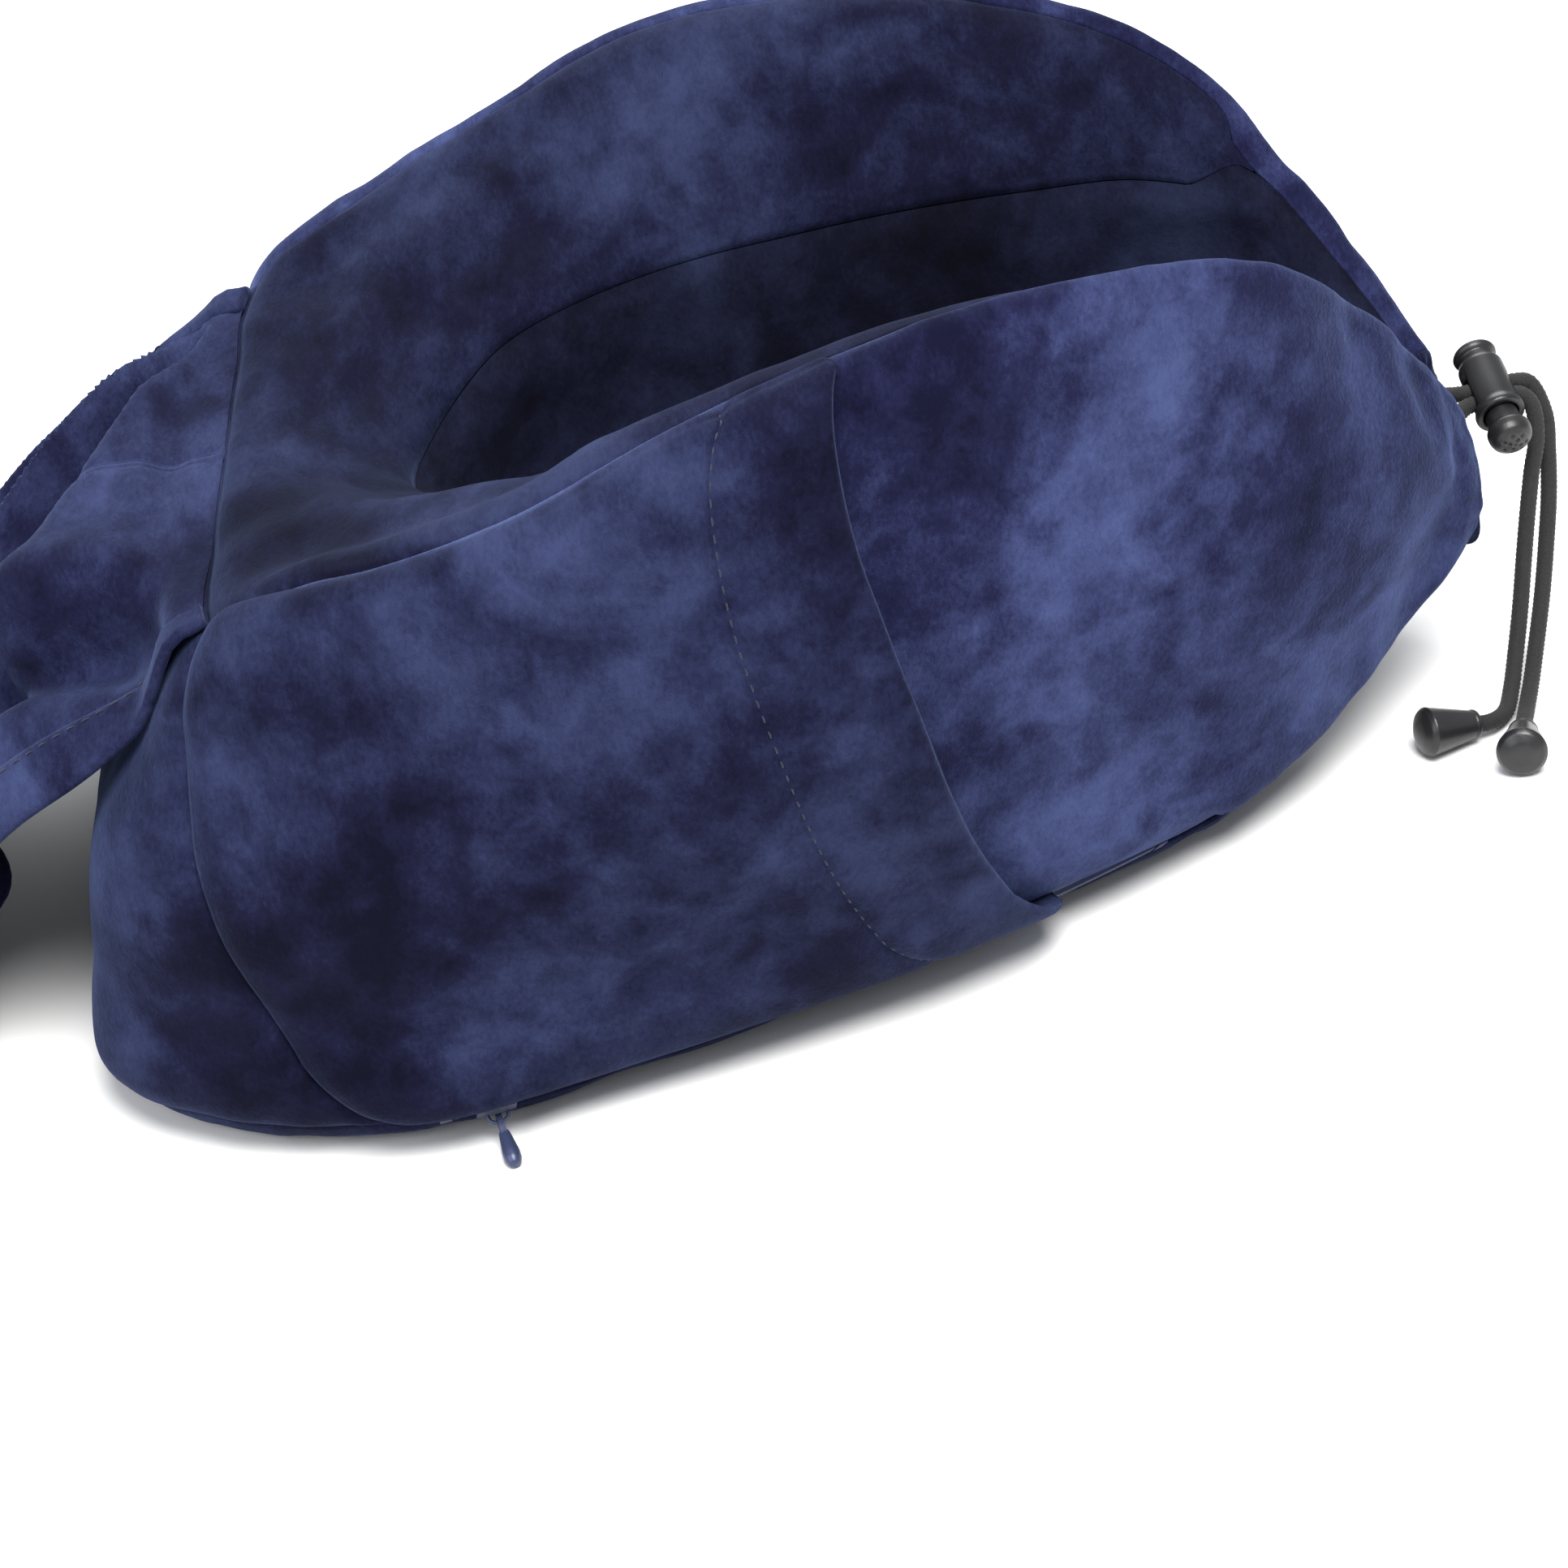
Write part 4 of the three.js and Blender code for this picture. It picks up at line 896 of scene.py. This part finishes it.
def rounded(profile, reach=0.35):
    """The profile with its corners cut into small arcs."""
    soft = [profile[0]]
    for before, corner, after in zip(profile, profile[1:], profile[2:]):
        ends = []
        for other in (before, after):
            distance = math.dist(corner, other)
            share = min(reach, 0.45 * distance) / max(distance, 1e-6)
            ends.append(between(corner, other, share))
        start, end = ends
        for t in (0, 0.33, 0.67, 1):
            soft.append(tuple(
                (1 - t) ** 2 * a + 2 * t * (1 - t) * c + t * t * b for a, c, b in zip(start, corner, end)
            ))
    return soft + [profile[-1]]


def turned(name, profile, segments, matrix, material, body, nodes, shape=None, closed=False):
    """A solid turned round local y. Profile points on the axis close it; closed joins its ends."""
    rings, vertices, faces = [], [], []
    for radius, height in profile:
        if radius < 1e-6:
            rings.append([len(vertices)])
            vertices.append((0, height, 0))
            continue
        rings.append(list(range(len(vertices), len(vertices) + segments)))
        for s in range(segments):
            turn = 2 * math.pi * s / segments
            vertices.append((radius * math.cos(turn), height, radius * math.sin(turn)))
    pairs = list(zip(rings, rings[1:])) + ([(rings[-1], rings[0])] if closed else [])
    for low, high in pairs:
        for s in range(segments):
            t = (s + 1) % segments
            if len(low) == 1:
                faces.append((low[0], high[s], high[t]))
            elif len(high) == 1:
                faces.append((low[s], high[0], low[t]))
            else:
                faces.append((low[s], high[s], high[t], low[t]))
    vertices = np.array(vertices, float)
    if shape is not None:
        vertices = shape(vertices)
    world = np.array([matrix @ Vector(v) for v in vertices])
    return mesh_object(name, world, faces, material, body, nodes)


LOCK_BASE = Vector((209.8, 11, 62.4))
LOCK_AXIS = Vector((0.1, -0.91, -0.4)).normalized()
LOCK_LENGTH, LOCK_RADIUS, LOCK_BORE = 19.5, 5.0, 3.9
PLUNGER_START, SLOT_START, CORD_PITCH = 7.5, 9.0, 3.8
BUTTON_START, BUTTON_RADIUS, BUTTON_TRAVEL = 22.8, 4.8, 2.5
CORD_RADIUS = 1.75
hole_axis = (Vector((1, 0, 0)) - LOCK_AXIS * LOCK_AXIS.x).normalized()
hole_side = hole_axis.cross(LOCK_AXIS)
lock_matrix = Matrix((
    (hole_axis.x, LOCK_AXIS.x, hole_side.x, LOCK_BASE.x),
    (hole_axis.y, LOCK_AXIS.y, hole_side.y, LOCK_BASE.y),
    (hole_axis.z, LOCK_AXIS.z, hole_side.z, LOCK_BASE.z),
    (0, 0, 0, 1),
))


def cut_slot(obj, start, end):
    """Cuts the cords' hole across a turned piece."""
    half = np.array([12.0, (end - start) / 2, 2.2])
    corners = [(x, y, z) for x in (-1, 1) for y in (-1, 1) for z in (-1, 1)]
    centre = Vector((0, (start + end) / 2, 0))
    world = [lock_matrix @ (centre + Vector(half * np.array(corner))) for corner in corners]
    faces = [(0, 1, 3, 2), (4, 6, 7, 5), (0, 4, 5, 1), (2, 3, 7, 6), (0, 2, 6, 4), (1, 5, 7, 3)]
    mesh = bpy.data.meshes.new("cutter")
    mesh.from_pydata([tuple(w * MM) for w in world], [], faces)
    cutter = placed("cutter", mesh)
    cut = obj.modifiers.new("slot", "BOOLEAN")
    cut.object = cutter
    cut.operation = "DIFFERENCE"
    cut.solver = "EXACT"
    bake(obj)
    bpy.data.objects.remove(cutter)


def dimples(vertices):
    """Small round dimples in the button's end."""
    spots = [(0.0, 0.0)]
    for radius, angles in ((1.35, np.arange(4) * math.pi / 2 + 0.4), (2.6, np.arange(7) * 2 * math.pi / 7)):
        spots += [(radius * math.cos(a), radius * math.sin(a)) for a in angles]
    top = vertices[:, 1] > BUTTON_START + 3.4
    for x, z in spots:
        distance = np.hypot(vertices[:, 0] - x, vertices[:, 2] - z)
        vertices[:, 1] -= np.where(top, 0.42 * np.exp(-(distance / 0.42) ** 4), 0)
    return vertices


barrel_profile = rounded([
    (0, 0), (3.2, 0.15), (4.6, 0.8), (4.9, 1.6), (4.6, 2.4), (4, 3), (4.1, 3.8), (LOCK_RADIUS, 5.4),
    (LOCK_RADIUS, 17), (LOCK_RADIUS + 0.5, 18.3), (LOCK_RADIUS + 0.4, 19.2), (LOCK_RADIUS - 0.1, LOCK_LENGTH),
    (LOCK_BORE, LOCK_LENGTH), (LOCK_BORE, 4.9), (3.1, 4.3), (3.1, 1.4), (0, 1.4),
], 0.5)
barrel = turned("lock_barrel_looks", barrel_profile, 56, lock_matrix, BLACK, "pillow",
                ["lock_barrel"])
cut_slot(barrel, SLOT_START, SLOT_START + 0.3 + 2 * CORD_PITCH)
plunger_profile = rounded([
    (0, PLUNGER_START), (3.6, PLUNGER_START), (3.6, BUTTON_START), (BUTTON_RADIUS - 0.6, BUTTON_START + 0.1),
    (BUTTON_RADIUS, BUTTON_START + 1), (BUTTON_RADIUS, BUTTON_START + 2.6),
    (BUTTON_RADIUS - 0.5, BUTTON_START + 4),
    (BUTTON_RADIUS - 2, BUTTON_START + 5.2), (0, BUTTON_START + 5.7),
], 0.5)
plunger_profile = refine(plunger_profile, 0.16)
plunger = turned("lock_plunger_looks", plunger_profile, 96, lock_matrix, BLACK, "lock_button",
                 ["lock_plunger"], dimples)
cut_slot(plunger, SLOT_START, SLOT_START + 0.3 + 2 * CORD_PITCH + 2.5)

TIP_CENTRE = Vector((197, 10.5, 55))
TIP_OUTWARD = Vector((0.77, -0.64, 0)).normalized()
hole = CORD_RADIUS + 0.3
CAP_SIDES, CAP_RINGS = 72, 9


def mirrored(vector, sign):
    return Vector((vector.x, sign * vector.y, vector.z))


def tip_cap(side, sign, place, outward):
    """The gathered cloth that closes an arm's tip round its eyelet."""
    around = np.linspace(0, 4, CAP_SIDES, endpoint=False)
    station = np.full(CAP_SIDES, sign * (LAST - 0.02))
    rim = body_point(station, around) + 1.2 * body_normal(station, around)
    out = np.array(outward)
    centre = np.array(place) + 0.2 * out
    rings = []
    for pull in np.linspace(0, 1, CAP_RINGS + 1)[:-1]:
        dome = -1.4 * (1 - math.cos(pull * math.pi / 2)) + 1.6 * math.sin(pull * math.pi)
        gathers = 0.5 * np.sin(around * 2 * math.pi / 4 * 14) * math.sin(pull * math.pi)
        rings.append(rim * (1 - pull) + centre * pull + out * (dome + gathers[:, None]))
    vertices = np.concatenate(rings + [(centre - 1.4 * out)[None, :], (centre - 6 * out)[None, :]])
    front = CAP_RINGS * CAP_SIDES
    faces = []
    for s in range(CAP_SIDES):
        t = (s + 1) % CAP_SIDES
        for k in range(CAP_RINGS - 1):
            low, high = k * CAP_SIDES, (k + 1) * CAP_SIDES
            faces.append((low + s, low + t, high + t, high + s))
        last = front - CAP_SIDES
        faces += [(last + s, last + t, front), (s, front + 1, t)]
    if sign < 0:
        faces = [face[::-1] for face in faces]
    mesh_object(f"tip_cap_{side}_looks", vertices, faces, VELOUR, "pillow", [f"tip_cap_{side}"])


for side, sign in (("left", 1), ("right", -1)):
    place, outward = mirrored(TIP_CENTRE, sign), mirrored(TIP_OUTWARD, sign)
    ring = rounded([(hole, -3.2), (hole + 0.8, -3.2), (hole + 0.8, 0.3), (4.2, 0.3), (4.2, 0.8), (3.5, 1.4),
                    (hole, 1.4)], 0.25)
    turned(f"tip_eyelet_{side}_looks", ring, 48, facing(outward, place), BLACK, "pillow",
           [f"tip_eyelet_{side}"], closed=True)
    tip_cap(side, sign, place, outward)

# ---- Cords and bell ends ----------------------------------
BELLS = {
    "left": (Vector((202.6, -53.5, 3.6)), Vector((-0.24, -0.96, 0.16)).normalized()),
    "right": (Vector((194, -47.4, 3.6)), Vector((-0.95, -0.27, 0.16)).normalized()),
}
HANGING = {
    "left": [(219.8, 1.8, 57.2), (222.4, -0.6, 50.5), (222, -3.6, 42.6), (220.8, -7.4, 34),
             (218.6, -12.2, 25), (215.8, -18.2, 16), (212.4, -25.6, 8.6), (209, -34, 3.9), (206, -42, 2.3)],
    "right": [(219, -3.2, 54.6), (219.2, -6, 48.4), (217, -9, 41), (214.8, -12.4, 32.6), (212.6, -16.4, 24),
              (210.2, -21.4, 15.4), (207.2, -28, 8), (204.2, -35.6, 3.6), (201.4, -42, 2.3)],
}


def lock_hole(offset, along):
    return lock_matrix @ Vector((along, SLOT_START + 0.3 + CORD_RADIUS + offset, 0))


def cord_points(side, sign, offset):
    tip, outward = mirrored(TIP_CENTRE, sign), mirrored(TIP_OUTWARD, sign)
    mouth, direction = BELLS[side]
    return ([tip + outward * d for d in (-7, -2, 4)] + [lock_hole(offset, d) for d in (-6, 0, 5.6)]
            + [Vector(p) for p in HANGING[side]] + [mouth + direction * d for d in (-3.5, 2.7)])


def braided_cord(name, route, nodes):
    """A round braid: strands that cross each other stand out of the cord's surface."""
    dense = catmull([tuple(p) for p in route])(np.linspace(0, 1, 3000))
    along = np.concatenate([[0], np.cumsum(np.linalg.norm(np.diff(dense, axis=0), axis=1))])
    length = along[-1]
    rings = int(length / 0.32)
    path = np.stack([np.interp(np.linspace(0, length, rings), along, dense[:, k]) for k in range(3)], -1)
    heading = unit(np.gradient(path, axis=0))
    side = unit(np.cross(heading[0], [0.3, 0.1, 0.9]))
    sides = 32
    angle = np.arange(sides) * 2 * math.pi / sides
    vertices = []
    for k in range(rings):
        side = unit(side - heading[k] * (side @ heading[k]))
        other = np.cross(heading[k], side)
        s = k * length / (rings - 1)
        twist = s * 2 * math.pi / 9.0
        strands = np.abs(np.sin(4 * (angle + twist))) * np.abs(np.sin(4 * (angle - twist)))
        radius = CORD_RADIUS * (0.93 + 0.14 * strands)
        spoke = np.cos(angle)[:, None] * side + np.sin(angle)[:, None] * other
        vertices.append(path[k] + radius[:, None] * spoke)
    base = np.arange((rings - 1) * sides).reshape(rings - 1, sides)
    following = np.roll(base, -1, axis=1)
    faces = np.stack([base, following, following + sides, base + sides], -1).reshape(-1, 4).tolist()
    faces += [tuple(reversed(range(sides))), tuple(range((rings - 1) * sides, rings * sides))]
    obj = mesh_object(name, np.concatenate(vertices), faces, CORD, "pillow", nodes)
    return obj, path, length


bell_profile = rounded([(0, 3), (2.05, 3), (2.05, 0), (2.8, 0), (3.2, 0.4), (3.3, 1.0), (3.15, 1.4),
                        (5.3, 11.4), (5.4, 11.8), (4.6, 12.8), (2.6, 13.7), (0, 14)], 0.35)
for side, sign, offset in (("left", 1, 0.0), ("right", -1, CORD_PITCH)):
    mouth, direction = BELLS[side]
    bell = turned(f"cord_bell_{side}_looks", bell_profile, 56, facing(direction, mouth), BELL, "pillow",
                  [f"cord_bell_{side}"])
    cord, path, length = braided_cord(f"cord_{side}_looks", cord_points(side, sign, offset), [f"cord_{side}"])

# ---- Zip --------------------------------------------------
def softened(node, body, width, material=ENAMEL):
    """A small hard piece as in the CAD model, with its sharp edges rounded off."""
    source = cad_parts[node]
    mesh = source.data.copy()
    mesh.transform(source.matrix_world)
    shape = bmesh.new()
    shape.from_mesh(mesh)
    bmesh.ops.remove_doubles(shape, verts=shape.verts, dist=0.000005)
    shape.to_mesh(mesh)
    shape.free()
    mesh.materials.clear()
    mesh.materials.append(material)
    obj = placed(node + "_looks", mesh)
    bevel = obj.modifiers.new("bevel", "BEVEL")
    bevel.width = width * MM
    bevel.segments = 3
    bevel.limit_method = "ANGLE"
    bevel.angle_limit = math.radians(40)
    bake(obj)
    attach(obj, body)
    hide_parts(node)
    return obj, np.array([tuple(v.co) for v in obj.data.vertices]) / MM


for node, body, width in (("zip_slider", "zip_runner", 0.18), ("zip_bail", "zip_runner", 0.08),
                          ("zip_stop_rear", "pillow", 0.15), ("zip_stop_front", "pillow", 0.15)):
    softened(node, body, width)
_, puller = softened("zip_puller", "zip_pull", 0.14)
pivot = np.array((-17.339, -136.576, 4.435))
reach = np.linalg.norm(puller - pivot, axis=1)
hang = unit(puller[reach > reach.max() - 1.0].mean(axis=0) - pivot)
drop_profile = rounded([(0, 2.4), (1.0, 2.5), (1.2, 3.4), (1.4, 5.2), (1.8, 7.8), (1.7, 9.6), (1.1, 10.9),
                        (0, 11.3)], 0.5)
turned("zip_puller_drop", drop_profile, 32, facing(hang, pivot), ENAMEL, "zip_pull", [])

spring, coils = softened("lock_spring", "pillow", 0.04, STEEL)
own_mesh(spring)

# The foam core takes the darkest velour copy, painted shade inside the cover.
for node, material in (("foam_core", VELOUR_INSIDE_PAINTED_SHADE), ("zip_coil", COIL), ("zip_tape_upper", TAPE),
                       ("zip_tape_lower", TAPE)):
    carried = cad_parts[node]
    carried.data.materials.clear()
    carried.data.materials.append(material)

# ---- Floor and light --------------------------------------
floor_mesh = bpy.data.meshes.new("floor")
FLOOR_HALF, FLOOR_HEIGHT = 3.0, -0.0002
floor_sides = ((-1, -1), (1, -1), (1, 1), (-1, 1))
floor_corners = [(x * FLOOR_HALF, y * FLOOR_HALF, FLOOR_HEIGHT) for x, y in floor_sides]
floor_mesh.from_pydata(floor_corners, [], [(0, 1, 2, 3)])
floor = placed("floor", floor_mesh)
floor_paint = Nodes("floor")
floor_paint.set("Base Color", (0.87, 0.87, 0.87, 1))
floor_paint.set("Roughness", 0.7)
floor_mesh.materials.append(floor_paint.material)
floor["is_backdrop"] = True

world = bpy.data.worlds.new("studio")
bpy.context.scene.world = world
world.use_nodes = True
world.node_tree.nodes["Background"].inputs["Color"].default_value = (0.95, 0.97, 1.0, 1)
world.node_tree.nodes["Background"].inputs["Strength"].default_value = 0.55


def area_light(name, place, target, size, power, color):
    data = bpy.data.lights.new(name, "AREA")
    data.shape = "DISK"
    data.size = size
    data.energy = power
    data.color = color
    light = placed(name, data)
    light.location = place
    light.rotation_euler = (Vector(target) - Vector(place)).to_track_quat("-Z", "Y").to_euler()


area_light("key", (0.3, -0.75, 1.5), (0.05, 0, 0.05), 1.0, 46, (1.0, 0.985, 0.96))
area_light("fill", (-1.1, -0.9, 1.0), (0.0, 0, 0.05), 1.2, 14, (0.95, 0.97, 1.0))
area_light("rim", (0.3, 1.3, 1.2), (0.05, 0, 0.08), 1.2, 18, (0.97, 0.98, 1.0))
bpy.context.scene.view_settings.view_transform = "Standard"

low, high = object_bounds()
